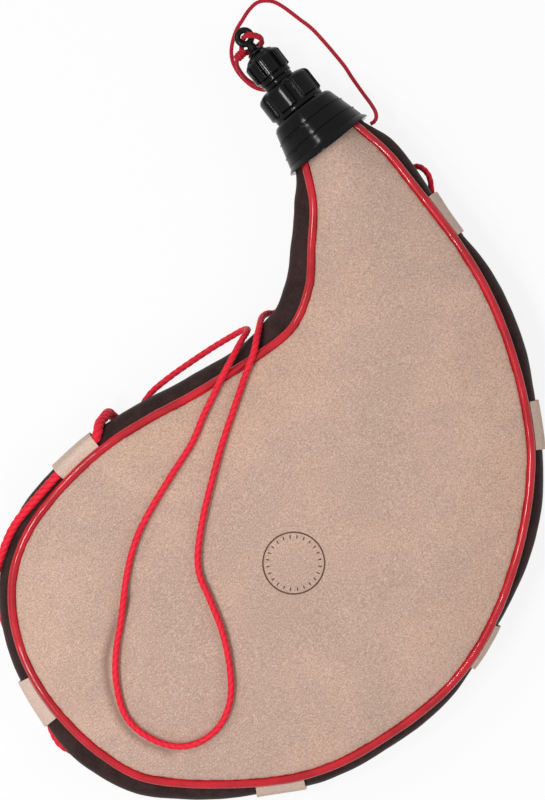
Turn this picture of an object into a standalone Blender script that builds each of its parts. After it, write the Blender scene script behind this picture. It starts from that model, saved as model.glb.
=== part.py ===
"""A leather bota bag, lying on its back panel with the nozzle along +Y.

Two suede panels and a gusset, piped at both seams, hold a latex liner. A plastic collar
and a mouth tube close the neck, a filler nut with a fine spout screws onto the tube, and
a cap on a swivel eye screws onto the spout. A carrying cord runs round the gusset under
six suede tabs, and a thin keeper cord ties the cap's eye to the neck.
"""

import math

import bmesh
import bpy
import numpy as np
from mathutils import Matrix, Vector
from mathutils.geometry import delaunay_2d_cdt

# Outline of the bag, seen from the front: X across the nozzle, Y along it
BAG_SPAN = 0.348
BAG_REACH = 0.290
RIM_SHARE = 0.600
NOZZLE_ACROSS_SHARE = 0.4353
SEAM_SHARES = [
    (0.3534, 0.5255), (0.3078, 0.4618), (0.2611, 0.3991), (0.2005, 0.3575), (0.1304, 0.3546),
    (0.0608, 0.3633), (-0.0086, 0.3740), (-0.0775, 0.3888), (-0.1470, 0.3979), (-0.2168, 0.3959),
    (-0.2857, 0.3838), (-0.3525, 0.3599), (-0.4119, 0.3153), (-0.4565, 0.2497), (-0.4849, 0.1723),
    (-0.4974, 0.0894), (-0.4959, 0.0055), (-0.4832, -0.0771), (-0.4571, -0.1559), (-0.4098, -0.2185),
    (-0.3558, -0.2718), (-0.2985, -0.3199), (-0.2367, -0.3595), (-0.1697, -0.3842), (-0.1005, -0.3954),
    (-0.0309, -0.4002), (0.0389, -0.3948), (0.1068, -0.3739), (0.1708, -0.3400), (0.2307, -0.2973),
    (0.2868, -0.2477), (0.3382, -0.1913), (0.3837, -0.1274), (0.4196, -0.0552), (0.4491, 0.0208),
    (0.4726, 0.0994), (0.4895, 0.1805), (0.4985, 0.2636), (0.5010, 0.3473), (0.5011, 0.4311),
    (0.5000, 0.5151),
]

# Leather body
PANEL_THICK = 0.0018
GUSSET_THICK = 0.0016
SEAM_RISE = 0.015
FRONT_CROWN = 0.0105
CROWN_EDGE = 0.026
BELLY_PRESS = 0.0014
BULGE = 0.0128
BULGE_SHARES = [
    0.72, 0.87, 0.97, 1.13, 1.00, 0.82, 0.86, 0.87, 0.88, 0.91, 0.94, 0.72, 0.73,
    0.74, 0.84, 1.11, 1.04, 0.95, 0.87, 0.66, 0.71, 0.68, 0.69, 0.56, 0.38, 0.53,
    0.74, 0.79, 0.68, 0.65, 0.78, 0.81, 0.71, 0.48, 0.65, 0.72, 0.68,
]
BULGE_BLEND = 0.022
BELLY_TILT = math.radians(14.0)
NECK_TILT = math.radians(38.0)
SEAM_ANGLE = math.radians(34.0)
NECK_BLEND = 0.056
NECK_DEPTH = 0.008
NECK_CROWN = 0.0096
NECK_SAG = 0.0088
FLANGE = 0.0032
RIM_STATIONS = 3
NOTCH_INNER = 0.0019
NOTCH_OUTER = 0.0026
SHEET_STEP = 0.019
NECK_STEP = 0.010
EDGE_SHARE = 0.55
SEAM_STEPS = 72
BULGE_STEPS = 5

# Red piping in both seams
PIPING_RADIUS = 0.0025
PIPING_DEPTH = 0.0025

# Latex liner
LINER_THICK = 0.0010
LINER_INSET = 0.0095
LINER_CLEAR = 0.0018
LINER_DROP = 0.0040
LINER_STEP = 0.028
LINER_SEAM_STEPS = 44
LINER_SHOULDER = 0.016
LINER_NECK_STEP = 0.0065

# Suede tabs that hold the carrying cord
TAB_THICK = 0.0015
TAB_LENGTH = 0.0275
TAB_STEPS = 4
TAB_SHARES = [0.2409, 0.3849, 0.5317, 0.6693, 0.7948, 0.9213]
TAB_REACH = math.radians(78.0)
TAB_STATIONS = 14
TAB_SPANS = 20
CORD_STATIONS = 20

# Clearances
FIT = 0.0003
RUNNING_FIT = 0.0004
NECK_FIT = 0.0007
TABLE_FIT = 0.0005

# Collar
COLLAR_HEIGHT = 0.0265
COLLAR_RIM_RADIUS = 0.0280
COLLAR_FOOT_RADIUS = 0.0264
COLLAR_TOP_RADIUS = 0.0194
COLLAR_WALL = 0.0016
COLLAR_LIP = 0.0022
COLLAR_RIDGE = 0.0004
COLLAR_CHAMFER = 0.0012
COLLAR_DIP = 0.0022
RIDGE_SHARES = [0.36, 0.68]

# Mouth tube, threaded for the filler nut
MOUTH_BORE_RADIUS = 0.0085
MOUTH_RADIUS = 0.0110
MOUTH_LENGTH = 0.0142
MOUTH_CHAMFER = 0.0006
THROAT_STACK = 0.0104
THROAT_START = 0.0006
THROAT_DEPTH = 0.0092
THROAT_WALL = 0.0022
SHOULDER_RADIUS = 0.0138
SNAP_RISE = 0.0007
SNAP_HEIGHT = 0.0009

# Filler nut and its spout
NUT_GAP = 0.0005
NUT_HEIGHT = 0.0190
NUT_RADIUS = 0.0162
NUT_FOOT = 0.0030
NUT_SHOULDER = 0.0034
NUT_LUG_COUNT = 6
LUG_RISE = 0.0017
LUG_WIDTH_SHARE = 0.62
SPOUT_COLLAR_RADIUS = 0.0095
SPOUT_COLLAR_HEIGHT = 0.0027
SPOUT_RADIUS = 0.0056
SPOUT_LENGTH = 0.0128
SPOUT_BORE_RADIUS = 0.0033
JET_RADIUS = 0.0009
JET_LENGTH = 0.0022
GASKET_THICK = 0.0014
GASKET_INNER_RADIUS = 0.0088

# Cap, its seal and its swivel eye
CAP_HEIGHT = 0.0190
CAP_RADIUS = 0.0100
CAP_TOP_RADIUS = 0.0056
CAP_CHAMFER = 0.0042
CAP_ROOF = 0.0046
CAP_RIB_COUNT = 8
CAP_RIB_RISE = 0.0016
CAP_RIB_WIDTH_SHARE = 0.52
CAP_RIB_FOOT = 0.0032
SEAL_THICK = 0.0010
PIN_RADIUS = 0.0017
PIN_HEAD_RADIUS = 0.0027
PIN_HEAD_HEIGHT = 0.0012
EYE_RADIUS = 0.0041
EYE_WIRE_RADIUS = 0.00185
EYE_BASE_RADIUS = 0.0054
EYE_BASE_HEIGHT = 0.0010
EYE_NECK_RADIUS = 0.0023
EYE_REACH = 0.0116

# Screw threads
NUT_THREAD_LEAD = 0.0060
NUT_THREAD_COUNT = 2
NUT_THREAD_TURNS = 1.25
CAP_THREAD_LEAD = 0.0040
CAP_THREAD_COUNT = 1
CAP_THREAD_TURNS = 1.5
THREAD_DEPTH = 0.0010
THREAD_ROOT = 0.0015
THREAD_CREST = 0.0009
THREAD_SINK = 0.0005
THREAD_RUNOUT_SHARE = 0.12
THREAD_STEPS = 14

# Cords
CARRY_RADIUS = 0.0020
KEEPER_RADIUS = 0.0012
CARRY_STEP = 0.0125
KEEPER_STEP = 0.0068
CORD_FACES = 2
CORD_CURVE_STEPS = 12
BEND_REACH = 0.009

# The carrying cord's place on the gusset: share of the seam, and angle on the bulge
EDGE_CORD_SHARES = [
    (0.2262, 63.0), (0.229, 64.0), (0.2409, 65.0), (0.2545, 67.0), (0.266, 67.0), (0.2765, 64.0),
    (0.284, 58.0), (0.2917, 50.0), (0.299, 44.0), (0.3065, 36.0), (0.316, 14.0), (0.326, -14.0),
    (0.338, -42.0), (0.352, -60.0), (0.368, -62.0), (0.3849, -58.0), (0.397, -44.0), (0.4095, -24.0),
    (0.422, -46.0), (0.438, -64.0), (0.465, -68.0), (0.500, -68.0), (0.5317, -60.0), (0.560, -68.0),
    (0.635, -72.0), (0.6693, -64.0), (0.700, -72.0), (0.760, -68.0), (0.7948, -60.0), (0.830, -68.0),
    (0.880, -68.0), (0.903, -62.0), (0.9213, -56.0), (0.9335, -50.0),
]
# Free cords, as places on their middle lines
KNOT_ROUTE = [
    (-0.0424, 0.1214, 0.0060), (-0.0450, 0.1252, 0.0076), (-0.0456, 0.1285, 0.0108),
    (-0.0457, 0.1305, 0.0154), (-0.0468, 0.1308, 0.0212), (-0.0496, 0.1298, 0.0276),
    (-0.0531, 0.1284, 0.0345), (-0.0560, 0.1252, 0.0398),
]
CARRY_ROUTE = [
    (0.1823, 0.1142, 0.0188), (0.1831, 0.1166, 0.0194), (0.1852, 0.1200, 0.0201), (0.1871, 0.1238, 0.0193),
    (0.1879, 0.1280, 0.0168), (0.1870, 0.1325, 0.0132), (0.1844, 0.1347, 0.0092),
    (0.1805, 0.1354, 0.0060), (0.1752, 0.1356, 0.0034), (0.1500, 0.1400, 0.0023),
    (0.1240, 0.1370, 0.0023), (0.0990, 0.1300, 0.0023), (0.0835, 0.1236, 0.0026),
    (0.0755, 0.1209, 0.0034), (0.0688, 0.1200, 0.0064), (0.0636, 0.1195, 0.0122),
    (0.0604, 0.1197, 0.0196), (0.0578, 0.1184, 0.0280), (0.0542, 0.1154, 0.0370),
    (0.0494, 0.1114, 0.0442), (0.0436, 0.1064, 0.0476), (0.0370, 0.1020, 0.0490),
    (0.0310, 0.0984, 0.0493), (0.0185, 0.0902, 0.0518), (-0.0030, 0.0760, 0.0546),
    (-0.0200, 0.0634, 0.0562), (-0.0370, 0.0500, 0.0571), (-0.0514, 0.0365, 0.0574),
    (-0.0594, 0.0250, 0.0575), (-0.0634, 0.0105, 0.0576), (-0.0690, -0.0080, 0.0576),
    (-0.0776, -0.0260, 0.0571), (-0.0890, -0.0415, 0.0562), (-0.1030, -0.0500, 0.0549),
    (-0.1185, -0.0506, 0.0535), (-0.1316, -0.0434, 0.0530), (-0.1404, -0.0290, 0.0529),
    (-0.1426, -0.0130, 0.0534), (-0.1358, 0.0040, 0.0547), (-0.1250, 0.0185, 0.0556),
    (-0.1106, 0.0320, 0.0563), (-0.0940, 0.0486, 0.0564), (-0.0808, 0.0594, 0.0562),
    (-0.0660, 0.0680, 0.0559), (-0.0410, 0.0780, 0.0550), (-0.0174, 0.0864, 0.0534),
    (-0.0024, 0.0948, 0.0513), (0.0080, 0.0998, 0.0498), (0.0154, 0.1036, 0.0490),
    (0.0224, 0.1070, 0.0488), (0.0296, 0.1102, 0.0474), (0.0364, 0.1134, 0.0436),
    (0.0424, 0.1160, 0.0372), (0.0468, 0.1178, 0.0294), (0.0484, 0.1192, 0.0208),
    (0.0462, 0.1208, 0.0128), (0.0400, 0.1220, 0.0068), (0.0316, 0.1232, 0.0036),
    (0.0225, 0.1242, 0.0026), (0.0085, 0.1252, 0.0023), (-0.0040, 0.1258, 0.0023),
    (-0.0170, 0.1256, 0.0023), (-0.0250, 0.1238, 0.0027), (-0.0306, 0.1212, 0.0035),
    (-0.0346, 0.1193, 0.0043),
]
KEEPER_ROUTE = [
    (0.1783, 0.1690, 0.0285), (0.1807, 0.1688, 0.0284), (0.1834, 0.1701, 0.0270),
    (0.1855, 0.1734, 0.0232), (0.1869, 0.1790, 0.0168), (0.1879, 0.1864, 0.0092),
    (0.1887, 0.1930, 0.0042), (0.1893, 0.1996, 0.0018), (0.1900, 0.2103, 0.0015),
    (0.1888, 0.2340, 0.0015), (0.1861, 0.2459, 0.0015), (0.1829, 0.2577, 0.0015),
    (0.1799, 0.2639, 0.0015), (0.1753, 0.2678, 0.0015), (0.1707, 0.2690, 0.0015),
    (0.1648, 0.2681, 0.0015), (0.1588, 0.2660, 0.0015), (0.1529, 0.2637, 0.0015),
    (0.1470, 0.2598, 0.0015), (0.1423, 0.2552, 0.0015), (0.1393, 0.2498, 0.0015),
    (0.1381, 0.2434, 0.0015), (0.1384, 0.2370, 0.0015), (0.1399, 0.2310, 0.0015),
    (0.1429, 0.2264, 0.0016), (0.1465, 0.2238, 0.0019), (0.1503, 0.2228, 0.0025),
]
CAP_KEEPER_ROUTE = [
    (0.1509, 0.2239, 0.0049), (0.1479, 0.2255, 0.0055), (0.1441, 0.2280, 0.0059),
    (0.1408, 0.2318, 0.0070), (0.1389, 0.2360, 0.0104), (0.1383, 0.2404, 0.0154),
    (0.1386, 0.2442, 0.0208), (0.1399, 0.2464, 0.0250),
]
EYE_LOOP_ROUTE = [
    (0.1450, 0.2482, 0.0275), (0.1481, 0.2520, 0.0251), (0.1515, 0.2542, 0.0270),
    (0.1520, 0.2542, 0.0300), (0.1545, 0.2524, 0.0324), (0.1575, 0.2494, 0.0316),
    (0.1586, 0.2468, 0.0290), (0.1576, 0.2456, 0.0255), (0.1525, 0.2456, 0.0219),
    (0.1481, 0.2466, 0.0229), (0.1445, 0.2476, 0.0255),
]
LOOP_STEPS = 2
CARRY_KNOT_PLACE = (-0.0389, 0.1176, 0.0047)
CARRY_KNOT_RADII = (0.0046, 0.0042, 0.0042)
TETHER_KNOT_PLACE = (0.1530, 0.2226, 0.0027)
TETHER_KNOT_RADII = (0.0024, 0.0024, 0.0023)
KEEPER_KNOT_PLACE = (0.1432, 0.2473, 0.0270)
KEEPER_KNOT_RADII = (0.0042, 0.0026, 0.0024)
KNOT_FACETS = 12

# Facets
ROUND_STEPS = 28
SMALL_STEPS = 20
MERGE = 0.000001
OVERRUN = 0.001

RIM_HEIGHT = BAG_REACH * RIM_SHARE
NOZZLE_ACROSS = BAG_SPAN * NOZZLE_ACROSS_SHARE
AXIS_HEIGHT = COLLAR_RIM_RADIUS + TABLE_FIT
COLLAR_SLOPE = (COLLAR_FOOT_RADIUS - COLLAR_TOP_RADIUS) / (COLLAR_HEIGHT - COLLAR_LIP)
BACK_CROWN = AXIS_HEIGHT - SEAM_RISE - PANEL_THICK / 2 + BELLY_PRESS


def smooth_step(value):
    """Ease from 0 to 1."""
    share = min(max(value, 0.0), 1.0)
    return share * share * (3.0 - 2.0 * share)


def smooth_curve(points, steps):
    """A Catmull-Rom curve through every point, open at both ends."""
    rows = [np.array(point, dtype=float) for point in points]
    rows = [2 * rows[0] - rows[1]] + rows + [2 * rows[-1] - rows[-2]]
    curve = []
    for a, b, c, d in zip(rows, rows[1:], rows[2:], rows[3:]):
        for step in range(steps):
            t = step / steps
            curve.append(0.5 * (2 * b + (c - a) * t + (2 * a - 5 * b + 4 * c - d) * t * t
                                + (3 * b - a - 3 * c + d) * t ** 3))
    return np.array(curve + [rows[-2]])


def lengths_along(curve):
    """The distance travelled at each point of a curve."""
    steps = np.linalg.norm(np.diff(curve, axis=0), axis=1)
    return np.concatenate([[0.0], np.cumsum(steps)])


def evenly(curve, spacing):
    """Points along a curve, closer together where it bends, with both ends kept."""
    ways = np.diff(curve, axis=0)
    ways /= np.linalg.norm(ways, axis=1)[:, None]
    bends = np.arccos(np.clip(np.sum(ways[1:] * ways[:-1], axis=1), -1.0, 1.0))
    travelled = lengths_along(curve)
    travelled[2:] += BEND_REACH * np.cumsum(bends)
    count = max(int(round(travelled[-1] / spacing)), 1)
    places = np.linspace(0.0, travelled[-1], count + 1)
    return np.stack([np.interp(places, travelled, curve[:, k]) for k in range(curve.shape[1])], axis=1)


# Bag shape

def collar_outer(height):
    """Outer radius of the collar's cone at a height above its rim."""
    return COLLAR_FOOT_RADIUS - COLLAR_SLOPE * (height - COLLAR_LIP)


def collar_inner(depth):
    """Inner radius of the collar at a distance above its rim."""
    return COLLAR_FOOT_RADIUS - COLLAR_WALL - COLLAR_SLOPE * depth


def neck_seam(depth):
    """Half spacing and rise of the seams inside the collar."""
    radius = collar_inner(depth) - NECK_FIT - PIPING_RADIUS
    return radius * math.cos(SEAM_ANGLE), radius * math.sin(SEAM_ANGLE)


def seam_points():
    """The seam line, from the left of the neck round the belly to its right."""
    half_rim = neck_seam(0.0)[0]
    half_end = neck_seam(NECK_DEPTH)[0]
    left = [(NOZZLE_ACROSS - half_end, RIM_HEIGHT + NECK_DEPTH), (NOZZLE_ACROSS - half_rim, RIM_HEIGHT)]
    right = [(NOZZLE_ACROSS + half_rim, RIM_HEIGHT), (NOZZLE_ACROSS + half_end, RIM_HEIGHT + NECK_DEPTH)]
    belly = [(BAG_SPAN * across, BAG_REACH * along) for across, along in SEAM_SHARES]
    return left + belly + right


SEAM = smooth_curve(seam_points(), 24)
SEAM_TRAVEL = lengths_along(SEAM)
SEAM_LENGTH = SEAM_TRAVEL[-1]
BULGE_CURVE = smooth_curve(list(zip(np.linspace(0.0, 1.0, len(BULGE_SHARES)), BULGE_SHARES)), 8)


def seam_at(share):
    """A point of the seam line and its outward direction, both flat in XY."""
    place = share * SEAM_LENGTH
    point = np.array([np.interp(place, SEAM_TRAVEL, SEAM[:, k]) for k in range(2)])
    reach = OVERRUN
    before, after = max(place - reach, 0.0), min(place + reach, SEAM_LENGTH)
    ahead = np.array([np.interp(after, SEAM_TRAVEL, SEAM[:, k]) for k in range(2)])
    behind = np.array([np.interp(before, SEAM_TRAVEL, SEAM[:, k]) for k in range(2)])
    along = (ahead - behind) / np.linalg.norm(ahead - behind)
    return point, np.array([along[1], -along[0]])


def neck_weight(height):
    """0 over the belly, 1 from the collar's rim on."""
    return smooth_step((height - RIM_HEIGHT + NECK_BLEND) / NECK_BLEND)


def seam_rise(height):
    """Height of a seam above the bag's middle."""
    weight = neck_weight(height)
    return (1.0 - weight) * SEAM_RISE + weight * neck_seam(max(height - RIM_HEIGHT, 0.0))[1]


def seam_tilt(height):
    """Lean of the seam, which turns towards the neck's round section."""
    weight = neck_weight(height)
    return (1.0 - weight) * BELLY_TILT + weight * NECK_TILT


def leaned(outward, up, tilt):
    """A place in the seam's section, turned about the piping's centre."""
    return (outward * math.cos(tilt) + up * math.sin(tilt),
            up * math.cos(tilt) - outward * math.sin(tilt))


def gusset_reach(share, height):
    """How far the gusset's middle layer stands outside the seam line."""
    belly = BULGE * np.interp(share, BULGE_CURVE[:, 0], BULGE_CURVE[:, 1])
    depth = max(height - RIM_HEIGHT, 0.0)
    neck = collar_inner(depth) - NECK_FIT - neck_seam(depth)[0]
    weight = smooth_step((height - RIM_HEIGHT + BULGE_BLEND) / BULGE_BLEND)
    return (1.0 - weight) * belly + weight * neck - GUSSET_THICK / 2


def bulge_place(share, angle):
    """Outward and up place, and outward direction, on the gusset's bulge. Angle 0 is its middle."""
    point, _ = seam_at(share)
    rise, tilt = seam_rise(point[1]), seam_tilt(point[1])
    root_out, root_up = leaned(NOTCH_OUTER, -notch_drop(), tilt)
    wide = gusset_reach(share, point[1]) - root_out
    tall = rise + root_up
    out = root_out + wide * math.cos(angle)
    up = tall * math.sin(angle)
    facing = np.array([tall * math.cos(angle), wide * math.sin(angle)])
    return out, up, facing / np.linalg.norm(facing)


def notch_drop():
    """Depth of the gusset's middle layer under the piping's centre, at the notch."""
    return PIPING_RADIUS + FIT + GUSSET_THICK / 2


def gusset_section(share):
    """Middle layer of the gusset from the front seam to the back seam, as (outward, up)."""
    point, _ = seam_at(share)
    rise, tilt = seam_rise(point[1]), seam_tilt(point[1])
    flange = PANEL_THICK / 2 + FIT + GUSSET_THICK / 2
    half = [leaned(-FLANGE, -flange, tilt), leaned(-NOTCH_INNER, -notch_drop(), tilt)]
    front = [(out, up + rise) for out, up in half]
    turns = np.linspace(math.pi / 2, -math.pi / 2, BULGE_STEPS + 1)
    bulge = [bulge_place(share, turn)[:2] for turn in turns]
    back = [(out, -up) for out, up in reversed(front)]
    return front + bulge + back


def in_space(share, out, up):
    """World point of a place in the seam's section."""
    point, outward = seam_at(share)
    flat = point + outward * out
    return (flat[0], flat[1], AXIS_HEIGHT + up)


def thickened(section, thick):
    """Both faces of a layer whose middle is the section."""
    rows = np.array(section)
    along = np.gradient(rows, axis=0)
    across = np.stack([-along[:, 1], along[:, 0]], axis=1)
    across /= np.linalg.norm(across, axis=1)[:, None]
    return rows + across * thick / 2, rows - across * thick / 2


# Building blocks

def material(name, colour, roughness, metallic=0.0):
    """A plain finish in the part's own colour."""
    finish = bpy.data.materials.new(name)
    finish.use_nodes = True
    shader = finish.node_tree.nodes["Principled BSDF"]
    shader.inputs["Base Color"].default_value = (*colour, 1.0)
    shader.inputs["Roughness"].default_value = roughness
    shader.inputs["Metallic"].default_value = metallic
    finish.diffuse_color = (*colour, 1.0)
    return finish


def add_object(name, data, finish=None, parent=None):
    """Link a mesh or curve to the scene."""
    piece = bpy.data.objects.new(name, data)
    bpy.context.scene.collection.objects.link(piece)
    if finish is not None:
        data.materials.append(finish)
    piece.parent = parent
    return piece


def mesh_from(name, bm, smooth_angle=35.0):
    """Turn a bmesh into a smooth-shaded mesh with sharp creases kept."""
    bmesh.ops.recalc_face_normals(bm, faces=bm.faces)
    mesh = bpy.data.meshes.new(name)
    bm.to_mesh(mesh)
    bm.free()
    mesh.shade_smooth()
    mesh.set_sharp_from_angle(angle=math.radians(smooth_angle))
    return mesh


def turned(name, outline, steps=ROUND_STEPS):
    """A solid of revolution about Z. The outline is (radius, height); one that starts or
    ends off the axis is closed on itself."""
    bm = bmesh.new()
    verts = [bm.verts.new((radius, 0.0, height)) for radius, height in outline]
    edges = [bm.edges.new(pair) for pair in zip(verts, verts[1:])]
    if outline[0][0] > 0.0 and outline[-1][0] > 0.0:
        edges.append(bm.edges.new((verts[-1], verts[0])))
    bmesh.ops.spin(bm, geom=verts + edges, cent=(0, 0, 0), axis=(0, 0, 1), dvec=(0, 0, 0),
                   angle=math.tau, steps=steps, use_merge=True, use_duplicate=False)
    bmesh.ops.remove_doubles(bm, verts=bm.verts, dist=MERGE)
    return mesh_from(name, bm)


def layered(name, faces_out, faces_in):
    """A bent layer from rows of points on its two faces, closed at all four edges."""
    bm = bmesh.new()
    grids = [[[bm.verts.new(point) for point in row] for row in rows] for rows in (faces_out, faces_in)]
    rows, columns = len(faces_out), len(faces_out[0])
    for grid in grids:
        for r in range(rows - 1):
            for c in range(columns - 1):
                bm.faces.new((grid[r][c], grid[r][c + 1], grid[r + 1][c + 1], grid[r + 1][c]))
    top, low = grids
    for r in range(rows - 1):
        for c in (0, columns - 1):
            bm.faces.new((top[r][c], top[r + 1][c], low[r + 1][c], low[r][c]))
    for c in range(columns - 1):
        for r in (0, rows - 1):
            bm.faces.new((top[r][c], top[r][c + 1], low[r][c + 1], low[r][c]))
    return mesh_from(name, bm)


def tube(name, points, radius, finish, parent=None, faces=CORD_FACES):
    """A cord: a poly curve with a round bevel and filled ends."""
    curve = bpy.data.curves.new(name, "CURVE")
    curve.dimensions = "3D"
    curve.bevel_depth = radius
    curve.bevel_resolution = faces
    curve.use_fill_caps = True
    spline = curve.splines.new("POLY")
    spline.points.add(len(points) - 1)
    for knot, place in zip(spline.points, points):
        knot.co = (*place, 1.0)
    return add_object(name, curve, finish, parent)


def unite(piece, tools):
    """Join solids into the piece and keep them out of the result as objects."""
    for tool in tools:
        tool.parent = piece.parent
        tool.location = piece.location
        tool.hide_render = True
        tool.display_type = "WIRE"
        joint = piece.modifiers.new("join_" + tool.name, "BOOLEAN")
        joint.operation = "UNION"
        joint.object = tool


def thread_ridge(name, wall, outward, lead, turns, start, phase):
    """A helical ridge on a round wall, tapered off at both ends."""
    sign = 1.0 if outward else -1.0
    bm = bmesh.new()
    rings = []
    count = int(round(turns * THREAD_STEPS))
    for step in range(count + 1):
        turn = step / THREAD_STEPS
        edge = min(turn, turns - turn) / THREAD_RUNOUT_SHARE
        depth = THREAD_DEPTH * min(max(edge, THREAD_RUNOUT_SHARE), 1.0)
        angle = phase + math.tau * (turn + 0.5 / ROUND_STEPS)
        height = start + lead * turn
        places = [(wall - sign * THREAD_SINK, -THREAD_ROOT / 2), (wall + sign * depth, -THREAD_CREST / 2),
                  (wall + sign * depth, THREAD_CREST / 2), (wall - sign * THREAD_SINK, THREAD_ROOT / 2)]
        rings.append([bm.verts.new((radius * math.cos(angle), radius * math.sin(angle), height + rise))
                      for radius, rise in places])
    for low, high in zip(rings, rings[1:]):
        for k in range(4):
            bm.faces.new((low[k], low[(k + 1) % 4], high[(k + 1) % 4], high[k]))
    bm.faces.new(rings[0])
    bm.faces.new(rings[-1])
    return add_object(name, mesh_from(name, bm))


def thread(name, wall, outward, lead, starts, turns, start, offset=0.0):
    """Every start of a thread. The offset moves it along the screw's own helix."""
    return [thread_ridge(name + "_start_" + str(k + 1), wall, outward, lead, turns, start,
                         math.tau * (k / starts + offset)) for k in range(starts)]


def sector_block(inner, profile, width):
    """A block standing on a round wall: its outer profile is (radius, height), its width an angle."""
    bm = bmesh.new()
    sides = []
    for angle in (-width / 2, width / 2):
        places = [(inner, profile[0][1])] + profile + [(inner, profile[-1][1])]
        sides.append([bm.verts.new((radius * math.cos(angle), radius * math.sin(angle), height))
                      for radius, height in places])
    count = len(sides[0])
    for k in range(count):
        bm.faces.new((sides[0][k], sides[0][(k + 1) % count], sides[1][(k + 1) % count], sides[1][k]))
    bm.faces.new(sides[0])
    bm.faces.new(sides[1])
    bmesh.ops.recalc_face_normals(bm, faces=bm.faces)
    return bm


def block_ring(name, inner, profile, count, width_share, phase=0.0):
    """Equal blocks all round a wall, as one tool."""
    mesh = bpy.data.meshes.new(name)
    joined = bmesh.new()
    for k in range(count):
        block = sector_block(inner, profile, math.tau / count * width_share)
        turn = phase + math.tau * k / count
        bmesh.ops.rotate(block, verts=block.verts, cent=(0, 0, 0), matrix=Matrix.Rotation(turn, 3, "Z"))
        copy = bpy.data.meshes.new(name + "_copy")
        block.to_mesh(copy)
        block.free()
        joined.from_mesh(copy)
        bpy.data.meshes.remove(copy)
    joined.to_mesh(mesh)
    joined.free()
    return add_object(name, mesh)


# Leather sheets

def sheet_outline(inset, rise, limit, steps, neck_step):
    """The seam line drawn in by an inset, up to a height limit, and its straight neck edge."""
    shares = np.linspace(0.0, 1.0, 40 * steps + 1)
    inside = [share for share in shares if seam_at(share)[0][1] <= limit]
    edge = []
    for share in np.linspace(inside[0], inside[-1], steps + 1):
        point, outward = seam_at(share)
        drawn = leaned(-inset, rise, seam_tilt(point[1]))[0]
        edge.append(point + outward * drawn)
    across = edge[0] - edge[-1]
    count = max(int(round(np.linalg.norm(across) / neck_step)), 2)
    line = [edge[-1] + across * k / count for k in range(1, count)]
    return edge, line


def spread_inside(boundary, step):
    """A triangular grid of points inside a loop, finer near the neck."""
    loop = np.array(boundary)
    after = np.roll(loop, -1, axis=0)
    points = []
    low, high = loop.min(axis=0), loop.max(axis=0)
    height = low[1]
    row = 0
    while height < high[1]:
        pitch = step + (min(NECK_STEP, step) - step) * neck_weight(height + NECK_BLEND / 2)
        across = low[0] + (row % 2) * pitch / 2
        while across < high[0]:
            place = np.array([across, height])
            if inside_loop(place, loop, after) and edge_distance(place, loop, after) > pitch * EDGE_SHARE:
                points.append(place)
            across += pitch
        height += pitch * math.sqrt(3.0) / 2
        row += 1
    return points


def inside_loop(place, loop, after):
    """Even-odd test of a point in a closed loop."""
    above = (loop[:, 1] > place[1]) != (after[:, 1] > place[1])
    run = (after[:, 0] - loop[:, 0]) / np.where(above, after[:, 1] - loop[:, 1], 1.0)
    cross = loop[:, 0] + run * (place[1] - loop[:, 1])
    return int(np.sum(above & (place[0] < cross))) % 2 == 1


def edge_distance(place, loop, after):
    """Distance from a point to the nearest side of a loop."""
    side = after - loop
    share = np.clip(np.sum((place - loop) * side, axis=1) / np.sum(side * side, axis=1), 0.0, 1.0)
    return np.min(np.linalg.norm(loop + side * share[:, None] - place, axis=1))


def inflate(points, triangles, held, crown, neck_crown):
    """Rise of a soft sheet held at its seam edge. It swells to the crown over the belly and
    to a round section in the neck: a pressed membrane on a soft bed, solved in one step."""
    count = len(points)
    stiffness = np.zeros((count, count))
    load = np.zeros(count)
    half = neck_seam(0.0)[0]
    for tri in triangles:
        corner = points[tri]
        area = abs(np.cross(corner[1] - corner[0], corner[2] - corner[0])) / 2
        weight = neck_weight(corner[:, 1].mean())
        push = (1.0 - weight) * crown / CROWN_EDGE ** 2 + weight * 2 * neck_crown / half ** 2
        bed = (1.0 - weight) / CROWN_EDGE ** 2
        for k in range(3):
            i, j, o = tri[k], tri[(k + 1) % 3], tri[(k + 2) % 3]
            a, b = points[i] - points[o], points[j] - points[o]
            cotangent = np.dot(a, b) / abs(np.cross(a, b)) / 2
            stiffness[i, i] += cotangent + bed * area / 6
            stiffness[j, j] += cotangent + bed * area / 6
            stiffness[i, j] -= cotangent
            stiffness[j, i] -= cotangent
            load[i] += push * area / 3
    for i in held:
        stiffness[i, :] = 0.0
        stiffness[i, i] = 1.0
        load[i] = 0.0
    return np.linalg.solve(stiffness, load)


def soft_sheet(inset, rise, limit, step, neck_step, steps, crown, neck_crown):
    """Points, triangles, seam edge and neck edge of a swollen sheet. Rise is 0 at its seam edge."""
    edge, line = sheet_outline(inset, rise, limit, steps, neck_step)
    boundary = edge + line
    points = boundary + spread_inside(boundary, step)
    loop = list(range(len(boundary)))
    result = delaunay_2d_cdt([Vector(point) for point in points], [], [loop], 1, MERGE)
    flat = np.array([[vert[0], vert[1]] for vert in result[0]])
    triangles = [list(face) for face in result[2]]
    held = list(range(len(edge)))
    swell = inflate(flat, triangles, held, crown, neck_crown)
    return flat, triangles, swell, len(edge), len(boundary)


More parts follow.
